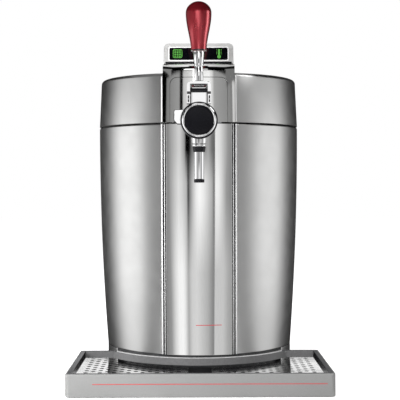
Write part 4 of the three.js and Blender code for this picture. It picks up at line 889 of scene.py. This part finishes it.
def make_yoke():
    leg, half_depth, lining, shoulder = 10.5, 8, 0.9, 6.5
    top = PIVOT_Z + BRIDGE_OUTER
    low = PIVOT_Z - leg
    inner = ARM_INNER + lining
    face = LEVER_Y - half_depth
    yoke = prism("yoke", "y", arch(ARM_OUTER, low, top, shoulder), face, LEVER_Y + half_depth)
    within(yoke, rod("tool", "x", BRIDGE_OUTER, *about(0, ARM_OUTER + 1), PIVOT, 96))
    less(
        yoke,
        rod("tool", "x", BRIDGE_INNER, -inner, inner, PIVOT, 96),
        block("tool", about(0, inner), about(LEVER_Y, OVER), (low - OVER, PIVOT_Z)),
        block("tool", about(0, inner), (LEVER_Y - OVER, LEVER_Y - 3.5), (PIVOT_Z - 1, top + OVER)),
        rod("tool", "x", SHAFT_RADIUS, *about(0, ARM_OUTER + OVER), PIVOT, 32),
    )
    dress(soften(yoke, 0.9, 3, 40), "chrome_trim", "lever", "lever_yoke")
    for side, sign in SIDES:
        x = sign * (inner + ARM_OUTER) / 2
        across = sorted((sign * (ARM_INNER + 0.1), sign * (ARM_OUTER - 0.1)))
        marks = (("inlay", about(x, 1), (low + 1.6, low + 10.4), 0.9, 0.15),
                 ("band", across, (373, 376.4), 0.8, 0.25))
        for name, wide, high, radius, proud in marks:
            outline = rounded(oblong(*wide, *high), radius, True, 6)
            mark = prism(f"arm_{name}_{side}", "y", outline, face - proud, face + 1)
            dress(soften(mark, 0.12, 2), "gloss_black", "lever")
        # Deep black liners on the arms' inner faces: painted shade in the gap beside the neck cap.
        across = sorted((sign * (ARM_INNER + 0.1), sign * (inner - 0.05)))
        liner = block(f"arm_liner_{side}", across, (face + 0.2, LEVER_Y + 7.8), (low + 0.4, PIVOT_Z + 12))
        dress(soften(liner, 0.15, 2), "gloss_black", "lever", look="deep_black")
        screw(f"arm_screw_{side}", (x, face - 0.75, PIVOT_Z - 5), 0.9, "lever", "chrome_trim")


def make_lever():
    rod_length, ferrule_length = 18.4, 19.5
    foot = PIVOT_Z + BRIDGE_OUTER + SEAT
    shoulder = foot + rod_length
    top = shoulder + ferrule_length
    profile = [
        (0, foot), (5.7, foot), (5.7, shoulder - 0.9), (4.8, shoulder - 0.5), (4.8, shoulder + 0.3),
        (6.1, shoulder + 0.5), (6.25, shoulder + 2.4), (5.7, shoulder + 2.8), (5.7, shoulder + 3.3),
        (6.3, shoulder + 3.7), (7.4, top - 1.6), (6.9, top - 1.2), (6.9, top - 0.8), (7.5, top - 0.5),
        (7.5, top), (0, top),
    ]
    axis = (0, LEVER_Y, 0)
    shaft = turned("rod_ferrule", "z", rounded(profile, 0.2, False, 2), axis, 96)
    dress(crease(shaft, 40), "chrome_trim", "lever", "lever_rod")
    start = top + SEAT
    low_radius, wide_radius, waist, crown = 10.2, 16.5, 48.8, 14.9
    profile = [(0, start), (9.1, start), (9.9, start + 0.3)]
    for share in spread(0, 1, 40)[1:]:
        swell = (1 - math.cos(math.pi * share)) / 2
        profile.append((low_radius + (wide_radius - low_radius) * swell, start + waist * share))
    for turn in spread(0, math.pi / 2, 20)[1:]:
        profile.append((wide_radius * math.cos(turn), start + waist + crown * math.sin(turn)))
    handle = turned("handle", "z", profile, axis, 96)
    dress(crease(handle, 50), "red_handle", "lever", "lever_handle")
    band = turned("handle_foot", "z", pipe_profile(9.2, 10.25, start + 0.1, start + 1.5), axis, 96)
    dress(crease(band), "gloss_black", "lever")


def make_cap():
    collar_depth, ring_depth, badge_depth, pin_length = 9.7, 5.7, 5.1, 4.3
    rear = BARREL_FRONT - SEAT
    front = rear - collar_depth
    profile = [(0, front), (22, front), (23.5, front + 1.5), (23.5, rear), (5, rear), (5, rear + pin_length),
               (0, rear + pin_length)]
    collar = turned("tap_collar", "y", rounded(profile, [0, 0.6, 0.6, 0.8, 0, 0.4, 0], False), BARREL, 96)
    # The collar's chrome is given deep black: painted dark reflection and shade.
    dress(soften(crease(collar, 30), 0), "chrome_trim", "tap_cap", "cap_collar", look="deep_black")
    backing = [(-32, -0.4), (-27.4, -5), (-19.5, -5), (-9.75, 13.9), (-32, 13.9)]
    thumb = [(-31, 0), (-27, -4), (-19.5, -4), (-9.75, 12.9), (-31, 12.9)]
    # The backing behind the thumb tab is deep black as painted shade round the tab, and the tab's light grey
    # is a painted highlight.
    tabs = (("tab_back", backing, [1.4, 1.4, 0, 0, 2.8], rear - 1.4, rear, 0.3, 2, "deep_black"),
            ("thumb_tab", thumb, [1, 1, 0, 0, 2.2], front + 1.5, rear - 1.5, 0.6, 3, "painted_highlight"))
    for name, outline, radii, low, high, width, segments, look in tabs:
        outline = [(x, TAP_Z + z) for x, z in rounded(outline, radii, True, 5)]
        tab = prism(name, "y", outline, low, high)
        less(tab, rod("tool", "y", COLLAR_RADIUS, front - OVER, rear + OVER, BARREL, 96))
        dress(soften(tab, width, segments, 40), "chrome_trim", "tap_cap", look=look)
    rear = front - SEAT
    front = rear - ring_depth
    profile = [(18.4, rear), (18.4, front + 1.2), (19.6, front), (20.3, front), (21.5, front + 1.2),
               (21.5, rear), (18.4, rear)]
    ring = turned("chrome_ring", "y", rounded(profile, [0, 0.8, 0.8, 0.8, 0.8, 0, 0], False), BARREL, 128)
    dress(crease(ring, 50), "chrome_trim", "tap_cap", "cap_ring")
    face = rear - badge_depth
    dish = [(0, face), (6, face + 0.06), (11, face + 0.2), (15, face + 0.45), (17.4, face + 0.75),
            (18.1, face + 1.1), (18.1, rear), (0, rear)]
    dress(crease(turned("badge", "y", dish, BARREL, 96), 50), "gloss_black", "tap_cap", "cap_badge",
          look="badge_black")


def make_spout():
    socket_drop, collar_height, tube_length, tip_length = 32.1, 7.1, 37.1, 4.3
    axis = (0, SPOUT_Y, 0)
    low = TAP_Z - socket_drop
    profile = [(SLEEVE, low), (9.1, low), (9.4, low + 0.5), (9.55, low + 2.4), (9.2, low + 2.9),
               (9.2, low + 3.6), (9.65, low + 4), (9.9, low + 10), (9.9, low + 20.5), (SLEEVE, low + 20.5),
               (SLEEVE, low)]
    socket = turned("socket", "z", profile, axis, 96)
    less(socket, rod("tool", "y", BARREL_RADIUS + SEAT, BARREL_FRONT - OVER, BARREL_REAR + OVER, BARREL, 96))
    dress(crease(socket, 40), "chrome_trim", "cooler_body", "nozzle_socket")
    top = low - SEAT
    foot = top - collar_height
    profile = [(SLEEVE, foot), (7.5, foot), (8.6, top), (SLEEVE, top), (SLEEVE, foot)]
    collar = turned("black_collar", "z", rounded(profile, [0, 0.3, 0.3, 0, 0], False), axis)
    dress(crease(collar, 40), "black_plastic", "cooler_body", "spout_collar", look="deep_black")
    top = STUB_BOTTOM - SEAT
    foot = top - tube_length
    profile = rounded(pipe_profile(BORE_RADIUS, 6.35, foot, top), [0, 0.3, 0.3, 0, 0], False)
    tube = turned("beer_spout", "z", profile, axis, 96)
    dress(crease(tube, 40), "chrome_trim", "cooler_body", "spout_tube")
    top = foot - SEAT
    profile = rounded(pipe_profile(BORE_RADIUS, 6.7, top - tip_length, top), [0, 1.8, 0.5, 0, 0], False)
    tip = turned("black_tip", "z", profile, axis, 96)
    dress(crease(tip, 40), "black_plastic", "cooler_body", "spout_tip", look="deep_black")


# Drip tray


def tray_corners(z, inset, corner, steps):
    """The round front corners, from the left side to the right side."""
    side, front = TRAY_HALF - inset, TRAY_FRONT + inset
    left = arc(corner - side, front + corner, corner, 180, 270, steps)
    right = arc(side - corner, front + corner, corner, 270, 360, steps)
    return [(x, y, z) for x, y in left + right]


def tray_ring(z, inset, rear_inset):
    side, rear = TRAY_HALF - inset, TRAY_REAR - rear_inset
    size = section(SHELL_BOTTOM, -TRAY_GAP - rear_inset)
    reach = math.acos((WIDEST_Y - rear) / size[1])
    corners = tray_corners(z, inset, max(TRAY_CORNER - inset, 0.6), 8)
    return corners + [(side, rear, z)] + front_arc(size, z, reach, -reach, 48) + [(-side, rear, z)]


def tray_prism(name, inset, rear_inset, low, high):
    return lofted(name, [tray_ring(z, inset, rear_inset) for z in (low, high)])


def unmirrored(piece):
    """Left out of reflections, as the polished body would else show the tray's edges as dark bands."""
    piece.visible_glossy = False
    return piece


def make_tray():
    tub = tray_prism("tub", FASCIA_WALL + SEAT, 0, TRAY_LOW, TRAY_TOP)
    inner = TRAY_RIM + TRAY_LEDGE
    body_front = WIDEST_Y - section(SHELL_BOTTOM, 0)[1]
    less(
        tub,
        tray_prism("tool", TRAY_RIM, TRAY_RIM, GRID_LOW - SEAT, TRAY_TOP + OVER),
        tray_prism("tool", inner, inner, TRAY_FLOOR, TRAY_TOP),
    )
    tongue_half, tongue_length, tongue_top = 45, 34, 4.7
    tongue = (body_front - TRAY_GAP - TRAY_RIM / 2, body_front + tongue_length)
    plus(tub, block("tool", about(0, tongue_half), tongue, (TRAY_LOW, tongue_top)))
    dress(tub, "grey_plastic", "drip_tray", "tray_tub", look="tub_steel")
    for name in ("grey_plastic", "deep_black", "rear_grey"):
        tub.data.materials.append(looks[name])
    # Painted shade: the tub's end walls and the faces under the grid are deep black, and the other upright
    # walls a lighter grey.
    plastic, dark, grey = 1, 2, 3
    for face in tub.data.polygons:
        x, _, z = face.center / MM
        if z > TRAY_TOP - 0.1 and face.normal.z > 0.9:
            face.material_index = plastic
        elif z > GRID_TOP and abs(face.normal.z) < 0.5:
            shaded_end = abs(x) > TRAY_HALF - inner - 1 and abs(face.normal.x) > 0.7
            face.material_index = dark if shaded_end else grey
        elif z < GRID_LOW and face.normal.z > -0.5:
            face.material_index = dark
        elif face.normal.z > 0.9:
            face.material_index = plastic
    soften(unmirrored(tub), 0.8, 3, 50)


def make_tray_lip():
    """A strip along the tray's rear, where it hugs the body, whose light grey is a painted highlight."""
    depths = (-TRAY_GAP - 0.9, -TRAY_GAP - TRAY_RIM + 1.6)
    reach = 118
    rows = []
    for z in about(TRAY_TOP, 0.4):
        paths = [front_path(z, depth, -reach, reach, 64, SHELL_BOTTOM) for depth in depths]
        rows.append([[place for place in path if place[1] < TRAY_REAR - 1] for path in paths])
    count = min(len(path) for row in rows for path in row)
    rows = [[path[(len(path) - count) // 2:][:count] for path in row] for row in rows]
    lip = unmirrored(soften(sheet("tray_lip", rows), 0.25, 2))
    dress(lip, "silver_paint", "drip_tray", look="painted_highlight")


def band_path(z, inset):
    """The tray's front and sides, from the left rear round to the right rear."""
    side = TRAY_HALF - inset
    corners = tray_corners(z, inset, TRAY_CORNER - inset, 12)
    return [(-side, TRAY_REAR, z), *corners, (side, TRAY_REAR, z)]


def make_fascia():
    edge = 1.5
    rows = []
    for middle, start, end, steps in ((TRAY_LOW + edge, -90, 0, 6), (TRAY_TOP - edge, 0, 90, 8)):
        for angle in spread(start, end, steps):
            turn = math.radians(angle)
            z = middle + edge * math.sin(turn)
            rows.append((band_path(z, edge * (1 - math.cos(turn)) + 0.1), band_path(z, FASCIA_WALL)))
    band = unmirrored(crease(sheet("tray_band", rows), 50))
    dress(band, "silver_paint", "drip_tray", "tray_fascia", look="fascia_silver")
    ends, high = (-130.3, 153.7), (16.4, 17.3)
    line = unmirrored(crease(block("tray_line", ends, (TRAY_FRONT, TRAY_FRONT + 0.5), high)))
    dress(line, "silver_paint", "drip_tray", look="red_line")


def make_column_line():
    ends, high = (-4.7, 29.3), (71.6, 72.5)
    rows = [[front_path(z, depth - STAND_OFF, *ends, 20) for depth in (-0.08, 0.4)] for z in high]
    dress(crease(sheet("column_line", rows)), "polished_steel", "cooler_body", look="red_line")


def grid_holes():
    edge = TRAY_RIM + SEAT + HOLE_MARGIN
    size = section(SHELL_BOTTOM, -TRAY_GAP - edge)
    half = TRAY_HALF - edge
    depth = TRAY_REAR - TRAY_FRONT - 2 * edge
    rows = math.floor(2 * depth / PITCH_Y)
    start = TRAY_FRONT + edge + (depth - rows * PITCH_Y / 2) / 2
    count = math.floor(half / PITCH_X + 0.5)
    places = []
    for row in range(rows + 1):
        y = start + row * PITCH_Y / 2
        beside = FINGER_FRONT - HOLE_MARGIN < y < FINGER_REAR + HOLE_MARGIN
        for column in range(-count, count + 1):
            x = (column + (row % 2) / 2) * PITCH_X
            behind = (x / size[0]) ** 2 + ((y - WIDEST_Y) / size[1]) ** 2 < 1
            at_finger = beside and abs(x) < FINGER_HALF + HOLE_MARGIN
            if abs(x) <= half and not behind and not at_finger:
                places.append((x, y))
    return places


def make_grid():
    inset = TRAY_RIM + SEAT
    outline = [(x, y) for x, y, _ in tray_ring(0, inset, inset)]
    finger = rounded(oblong(*about(0, FINGER_HALF), FINGER_FRONT, FINGER_REAR), 4, True, 6)
    holes = [arc(x, y, HOLE_RADIUS, 0, 345, 23) for x, y in grid_holes()]
    curve = bpy.data.curves.new("grid_outline", "CURVE")
    curve.dimensions = "2D"
    curve.fill_mode = "BOTH"
    curve.extrude = (GRID_TOP - GRID_LOW) / 2 * MM
    for loop in [outline, finger, *holes]:
        spline = curve.splines.new("POLY")
        spline.points.add(len(loop) - 1)
        for place, (x, y) in zip(spline.points, loop):
            place.co = (x * MM, y * MM, 0, 1)
        spline.use_cyclic_u = True
    source = link("grid_source", curve)
    bpy.context.view_layer.update()
    graph = bpy.context.evaluated_depsgraph_get()
    mesh = bpy.data.meshes.new_from_object(source.evaluated_get(graph))
    bpy.data.objects.remove(source)
    shape = bmesh.new()
    shape.from_mesh(mesh)
    bmesh.ops.translate(shape, verts=shape.verts, vec=(0, 0, (GRID_TOP + GRID_LOW) / 2 * MM))
    bmesh.ops.remove_doubles(shape, verts=shape.verts, dist=1e-6)
    bmesh.ops.recalc_face_normals(shape, faces=shape.faces)
    shape.to_mesh(mesh)
    shape.free()
    grid = unmirrored(crease(link("grid", mesh), 40))
    dress(grid, "grid_steel", "grid", "drip_grid")
    # The hole walls and the outer edge are deep black: painted shade in the holes.
    grid.data.materials.append(looks["deep_black"])
    for face in grid.data.polygons:
        if abs(face.normal.z) < 0.5:
            face.material_index = 1


# Inside, and the pieces whose solids stay


def make_chamber():
    axis = (0, CHAMBER_Y, 0)
    low, lip = 60, 334.4
    profile = [(0, low), (90, low), (90, lip), (98, lip), (98, lip + 2), (88, lip + 2), (88, low + 2),
               (0, low + 2)]
    profile = rounded(profile, [0, 4, 0.8, 0.6, 0.6, 1.2, 6, 0], False, 6)
    liner = turned("keg_liner", "z", profile, axis, 128)
    dress(crease(liner, 50), "aluminium", "cooler_body", "chamber_liner")
    low = 336.7
    profile = [(90.2, low), (97, low), (96.4, low + 1.4), (94.6, low + 2.9), (92.4, low + 2.9),
               (90.8, low + 1.4), (90.2, low)]
    seal = turned("seal_ring", "z", rounded(profile, [0.4, 0.4, 1, 0.9, 0.9, 1, 0.4], False), axis, 128)
    dress(crease(seal, 60), "rubber", "cooler_body", "lid_seal")


KEPT_EDGES = {
    0.8: ("base_pan", "power_supply", "lid_liner"),
    0.7: ("top_deck",),
    0.6: ("foam_cup", "fan_frame", "lid_foam"),
    0.5: ("foot_front_left", "foot_front_right", "foot_rear_left", "foot_rear_right", "cold_block"),
    0.4: ("strike_plate", "hinge_base_left", "hinge_base_right", "hinge_leaf_left", "hinge_leaf_right",
          "tap_bracket", "lid_magnet"),
    0.3: ("fan_rotor", "lever_shaft", "pinch_slider", "switch_rocker"),
    0.25: ("heat_sink",),
    0.2: ("cooler_module", "control_board", "display_board"),
}


def keep_solids():
    slots = {row["node"]: row["material_slot"] for row in frame["record"]["subparts"]}
    for width, names in KEPT_EDGES.items():
        for name in names:
            piece = nodes[name]
            piece.data.materials.clear()
            piece.data.materials.append(looks[slots[name]])
            soften(piece, width, 2, 30)


# Floor, backdrop, lamps and camera

CAMERA = (-7, -1424, 257)
FOCAL_PIXELS = 992
PHOTO_PIXELS = 400
SENSOR = 36
SHIFT = (0.0156, -0.0375)
ROLL = 0.2

# Screen in front of the column
SCREEN_Y = -560
SCREEN_SPLIT = 392
SCREEN_TOP = 505
SCREEN_BASE = 0.8
COLUMN_EDGE = 46
LID_EDGE = 49
LOW_BLEND = (60, 215)
HIGH_BLEND = (245, 312)
SCREEN_MARGIN = 60
DARK_HALF = 800
FOOT_Y = -140
FOOT_SHARE = 0.183
FOOT_Z = 0.2

# Walls, ground and ceiling round the body's sides
ROOM_RADIUS = 900
ROOM_TOP = 900
ROOM_CENTRE = (90, -75)
ROOM_BASE = 0.62
ROOM_START = 34
ROOM_END = 180
WALL_START = 38
WALL_STEPS = 40
CEILING_HALF = 960
WALL_BLEND = (420, 520)
TOP_BLEND = (570, 680)
GROUND_INNER = 120
GROUND_Z = 0.15
GROUND_BLEND = (330, ROOM_RADIUS - 1)
DIM_LIGHT = 0.01
REAR_LIGHT_Y = 840
REAR_LIGHT_X = (120, 430)
SKY_HALF = 230
SKY_Y = (-330, 900)

# Each stop holds a place across the column, and how bright the camera sees the column there.
COLUMN_HIGH = [
    (-46, 0.52), (-41, 0.53), (-33, 0.71), (-27, 0.81), (-25, 0.81), (-20, 0.63), (-18.2, 0.5), (-17.7, 0),
    (-12.6, 0), (-9.3, 0.44), (-6, 0.55), (0, 0.6), (9, 0.57), (11.7, 0.64), (17, 0.44), (20.8, 0.37),
    (21.5, 0.92), (27, 0.87), (32.6, 0.74), (38, 0.58), (46, 0.5),
]
COLUMN_MIDDLE = [
    (-46, 0.54), (-40, 0.55), (-27.5, 0.87), (-23, 0.83), (-17, 0.71), (-15.9, 0.6), (-14.7, 0.15),
    (-13.4, 0.4), (-6.7, 0.82), (-3, 0.94), (1, 0.98), (6, 0.92), (17.4, 0.67), (18.6, 0.5), (20.6, 0.5),
    (21.4, 0.94), (25, 0.94), (28, 0.88), (36, 0.6), (41, 0.54), (46, 0.5),
]
COLUMN_LOW = [
    (-46, 0.5), (-39, 0.59), (-33, 0.84), (-28, 0.95), (-23, 0.965), (-19.8, 0.91), (-14.8, 0.66),
    (-12, 0.76), (-9.3, 0.81), (-3, 0.83), (11.7, 0.69), (18.4, 0.54), (20.6, 0.52), (21.4, 0.78),
    (33, 0.77), (40, 0.66), (46, 0.6),
]
PANEL_HIGH = [
    (-49, 0), (-43.6, 0), (-43.2, 0.47), (-27, 0.6), (-25.6, 0.56), (-25, 0), (-21.6, 0), (-21, 0.76),
    (-4, 0.92), (14, 0.95), (18.5, 0.8), (20.5, 0.62), (42, 0.52), (44.6, 0.42), (45, 0.8), (49, 0.8),
]
# Each stop holds the way that a reflected ray leaves the body's side, and how bright its paint looks there.
SIDE_SOFT = [
    (34, 0.52), (50, 0.53), (58, 0.64), (66, 0.93), (74, 0.99), (98, 0.99), (106, 0.85), (116, 0.56),
    (126, 0.3), (142, 0.17), (180, 0.08),
]
SIDE_HIGH = [
    (34, 0.73), (52, 0.72), (60, 0.72), (70, 0.76), (96, 0.76), (106, 0.6), (116, 0.4), (126, 0.2),
    (142, 0.1), (180, 0.05),
]
SKY = [(-230, 0.76), (-115, 0.88), (-20, 0.98), (20, 0.92), (115, 0.74), (230, 0.68)]


def mirrored(x):
    """Where the camera sees the screen in the column, from the place across the column."""
    half, deep = HALF_WIDTH + STAND_OFF, FRONT_DEPTH + STAND_OFF
    turn = math.asin(x / half)
    y = WIDEST_Y - deep * math.cos(turn)
    normal = math.atan2(math.sin(turn) / half, math.cos(turn) / deep)
    ray = 2 * normal + math.atan2(x - CAMERA[0], y - CAMERA[1])
    return x + (y - SCREEN_Y) * math.tan(ray)


def level(seen, base):
    """The light that makes a metal of this tone look as bright as given."""
    linear = seen / 12.92 if seen < 0.04045 else ((seen + 0.055) / 1.055) ** 2.4
    return linear / base


def ramp(graph, source, stops, low, high, base):
    """A gradient over a number that runs from low to high."""
    rows = []
    for place, seen in stops:
        share = min(max((place - low) / (high - low), 0), 1)
        rows.append((share, (level(seen, base),) * 3))
    return gradient(graph, span(graph, source, 0, 1, low, high), rows)


def reckon(graph, operation, *values):
    return add(graph, "Math", dict(enumerate(values)), operation=operation).outputs[0]


def grey(value):
    """A number as a plain grey. A socket stays as it is."""
    return (value, value, value, 1) if isinstance(value, (int, float)) else value


def faded(graph, share, first, second):
    """The first colour where the share is 0 and the second where it is 1."""
    return add(graph, "Mix", {0: share, 6: grey(first), 7: grey(second)}, data_type="RGBA").outputs[2]


def card(name, places, faces, paint):
    """A panel that only reflections show. Paint makes its colour from its place in millimetres."""
    piece = made(name, places, faces)
    material, graph, shader = tree(name)
    graph.nodes.remove(shader)
    if callable(paint):
        place = add(graph, "TexCoord").outputs["Object"]
        scaled = add(graph, "VectorMath", {0: place, "Scale": 1 / MM}, operation="SCALE").outputs[0]
        paint = paint(graph, *add(graph, "SeparateXYZ", {0: scaled}).outputs)
    light = add(graph, "Emission", {"Color": grey(paint)})
    feed(graph, graph.nodes["Material Output"].inputs["Surface"], light.outputs[0])
    material.cycles.emission_sampling = "NONE"
    piece.data.materials.append(material)
    piece.visible_camera = False
    piece.visible_diffuse = False
    piece.visible_transmission = False
    piece.visible_volume_scatter = False
    piece.visible_shadow = False


def quad(name, corners, paint):
    card(name, corners, [(0, 1, 2, 3)], paint)


def upright(name, x, z, y, paint):
    quad(name, [(u, y, v) for u, v in oblong(*x, *z)], paint)


def flat(name, x, y, z, paint):
    quad(name, [(u, v, z) for u, v in oblong(*x, *y)], paint)


def make_screen():
    """The graded screen in front of the column, with its foot on the floor and the lid's part above."""
    side, edge = mirrored(COLUMN_EDGE), mirrored(LID_EDGE)

    def graded(graph, x, rows, reach=side):
        return ramp(graph, x, [(mirrored(place), seen) for place, seen in rows], -reach, reach, SCREEN_BASE)

    def column_paint(graph, x, y, z):
        low, middle, high = [graded(graph, x, rows) for rows in (COLUMN_LOW, COLUMN_MIDDLE, COLUMN_HIGH)]
        lower = faded(graph, span(graph, z, 0, 1, *LOW_BLEND), low, middle)
        return faded(graph, span(graph, z, 0, 1, *HIGH_BLEND), lower, high)

    def foot_paint(graph, x, y, z):
        wide = span(graph, y, 1, FOOT_SHARE, SCREEN_Y, FOOT_Y)
        return graded(graph, reckon(graph, "DIVIDE", x, wide), COLUMN_LOW)

    def panel_paint(graph, x, y, z):
        return graded(graph, x, PANEL_HIGH, edge)

    reach = side + SCREEN_MARGIN
    near = reach * FOOT_SHARE
    foot = [(-reach, SCREEN_Y, FOOT_Z), (reach, SCREEN_Y, FOOT_Z), (near, FOOT_Y, FOOT_Z),
            (-near, FOOT_Y, FOOT_Z)]
    upright("screen_column", about(0, reach), (0, SCREEN_SPLIT), SCREEN_Y, column_paint)
    quad("screen_foot", foot, foot_paint)
    upright("screen_lid", about(0, reach), (SCREEN_SPLIT, SCREEN_TOP), SCREEN_Y, panel_paint)
    upright("screen_dark", about(0, DARK_HALF), (SCREEN_TOP, ROOM_TOP), SCREEN_Y, 0)


def side_paint(sign):
    """Brightness by the way round from the middle of the body's side."""
    dim = 1 if sign < 0 else 0.9

    def graded(graph, turn, rows):
        stops = [(place, seen * dim if place > 60 else seen) for place, seen in rows]
        return ramp(graph, turn, stops, ROOM_START, ROOM_END, ROOM_BASE)

    def paint(graph, x, y, z):
        across = reckon(graph, "SUBTRACT", reckon(graph, "MULTIPLY", x, sign), ROOM_CENTRE[0])
        behind = reckon(graph, "SUBTRACT", ROOM_CENTRE[1], y)
        degrees = reckon(graph, "MULTIPLY", reckon(graph, "ARCTAN2", across, behind), 180 / math.pi)
        # The far side of the half turn counts on past 180.
        turn = reckon(graph, "WRAP", degrees, 300, -60)
        low, high = [graded(graph, turn, rows) for rows in (SIDE_SOFT, SIDE_HIGH)]
        soft = faded(graph, span(graph, z, 0, 1, *WALL_BLEND), low, high)
        squares = [reckon(graph, "MULTIPLY", value, value) for value in (x, y)]
        distance = reckon(graph, "POWER", reckon(graph, "ADD", *squares), 0.5)
        soft = faded(graph, span(graph, distance, 0.3, 0, *GROUND_BLEND), soft, 0)
        return faded(graph, span(graph, z, 0, 1, *TOP_BLEND), soft, DIM_LIGHT)

    return paint


def make_room():
    for side, sign in SIDES:
        wall, ground = [], []
        for angle in spread(WALL_START, ROOM_END, WALL_STEPS):
            turn = math.radians(angle)
            out = (sign * math.sin(turn), -math.cos(turn))
            far = tuple(ROOM_RADIUS * value for value in out)
            wall += [(*far, 0), (*far, ROOM_TOP)]
            near = tuple(GROUND_INNER * value for value in out)
            ground += [(*near, GROUND_Z), (*far, GROUND_Z)]
        faces = [(base, base + 2, base + 3, base + 1) for base in range(0, 2 * WALL_STEPS, 2)]
        card(f"wall_{side}", wall, faces, side_paint(sign))
        card(f"ground_{side}", ground, faces, side_paint(sign))
        window = sorted(sign * x for x in REAR_LIGHT_X)
        for name, low, high, bright in (("window", 176, 236, 1), ("sill", 60, 176, 0.14)):
            upright(f"rear_{name}_{side}", window, (low, high), REAR_LIGHT_Y, bright)
    flat("ceiling", about(0, CEILING_HALF), about(0, CEILING_HALF), ROOM_TOP, DIM_LIGHT)

    def sky_paint(graph, x, y, z):
        return ramp(graph, x, SKY, -SKY_HALF, SKY_HALF, SCREEN_BASE)

    flat("sky", about(0, SKY_HALF), SKY_Y, ROOM_TOP - 1, sky_paint)


def make_handle_cards():
    """Plain panels above the lid that the handle's reflections show, with a dark one close over its top."""
    top = 515
    front = -300
    rows = [
        ("main", (-70, front), (-26, front), 462, 2.2),
        ("centre", (-26, front), (10, front), 424, 2.2),
        ("soft", (10, front), (45, front), 462, 0.8),
        ("flag_left", (-140, front), (-140, -60), 440, 0.25),
        ("line_right", (140, -180), (140, -135), 424, 3.6),
        ("flag_right", (140, front), (140, -180), 424, 0.2),
    ]
    for name, first, last, low, bright in rows:
        quad(f"handle_{name}", [(*first, low), (*last, low), (*last, top), (*first, top)], bright)
    flat("handle_shade", about(0, 24), (-180, -128), 502, 0)


def seen_rays(graph):
    """1 for what the camera, a reflection or a clear piece shows, and 0 for soft light."""
    path = add(graph, "LightPath")
    total = path.outputs["Is Camera Ray"]
    for name in ("Is Glossy Ray", "Is Transmission Ray"):
        total = reckon(graph, "MAXIMUM", total, path.outputs[name])
    return total


def chosen(graph, soft, seen):
    """The first shader for soft light, and the second for what is seen."""
    return add(graph, "MixShader", {0: seen_rays(graph), 1: soft.outputs[0], 2: seen.outputs[0]}).outputs[0]


def make_world():
    world = bpy.data.worlds.new("studio")
    bpy.context.scene.world = world
    world.use_nodes = True
    graph = world.node_tree
    graph.nodes.clear()
    soft = add(graph, "Background", {"Color": grey(1), "Strength": 0.5})
    plain = add(graph, "Background", {"Color": grey(1), "Strength": 1})
    add(graph, "OutputWorld", {"Surface": chosen(graph, soft, plain)})


def make_floor():
    size = 6000
    floor = made("floor", [(x, y, 0) for x, y in oblong(-size, size, -size, size)], [(0, 1, 2, 3)])
    material, graph, shader = tree("floor")
    for name, value in (("Base Color", grey(0.8)), ("Roughness", 0.9), ("Specular IOR Level", 0)):
        shader.inputs[name].default_value = value
    none, light = [add(graph, "Emission", {"Strength": strength}) for strength in (0, 0.6)]
    both = add(graph, "AddShader", {0: shader.outputs[0], 1: chosen(graph, none, light)})
    feed(graph, graph.nodes["Material Output"].inputs["Surface"], both.outputs[0])
    floor.data.materials.append(material)


def lamp(name, place, aim, size, energy):
    data = bpy.data.lights.new(name, "AREA")
    data.shape = "SQUARE"
    data.size = size
    data.energy = energy
    light = link(name, data)
    light.location = place
    light.rotation_euler = (Vector(aim) - Vector(place)).to_track_quat("-Z", "Y").to_euler()
    light.visible_glossy = False
    light.visible_camera = False


def make_light():
    """Four lamps, placed in metres."""
    middle = (0, 0, 0.2)
    lamp("lamp_key", (-1.1, -1.5, 1.6), middle, 1.2, 22)
    lamp("lamp_fill", (1.3, -1.3, 1.1), middle, 1.2, 14)
    lamp("lamp_top", (0, 0.2, 1.9), middle, 1.4, 16)
    lamp("lamp_low", (-0.55, -0.65, 0.3), (-0.15, -0.22, 0.02), 0.4, 9)


def make_camera():
    data = bpy.data.cameras.new("camera")
    data.sensor_width = SENSOR
    data.lens = FOCAL_PIXELS / PHOTO_PIXELS * SENSOR
    data.shift_x, data.shift_y = SHIFT
    camera = link("camera", data)
    camera.location = [MM * value for value in CAMERA]
    camera.rotation_euler = (math.radians(90), math.radians(ROLL), 0)
    bpy.context.scene.camera = camera


for make in (make_camera, make_world, make_floor, make_screen, make_room, make_handle_cards, make_light,
             make_body, make_rear, make_rear_fittings, make_lid_shell, make_lid_panel, make_spine,
             make_display, make_tap_plate, make_tap_body, make_neck_cap, make_yoke, make_lever, make_cap,
             make_spout, make_tray, make_tray_lip, make_fascia, make_column_line, make_grid, make_chamber,
             keep_solids):
    make()

bpy.context.scene.view_settings.view_transform = "Standard"
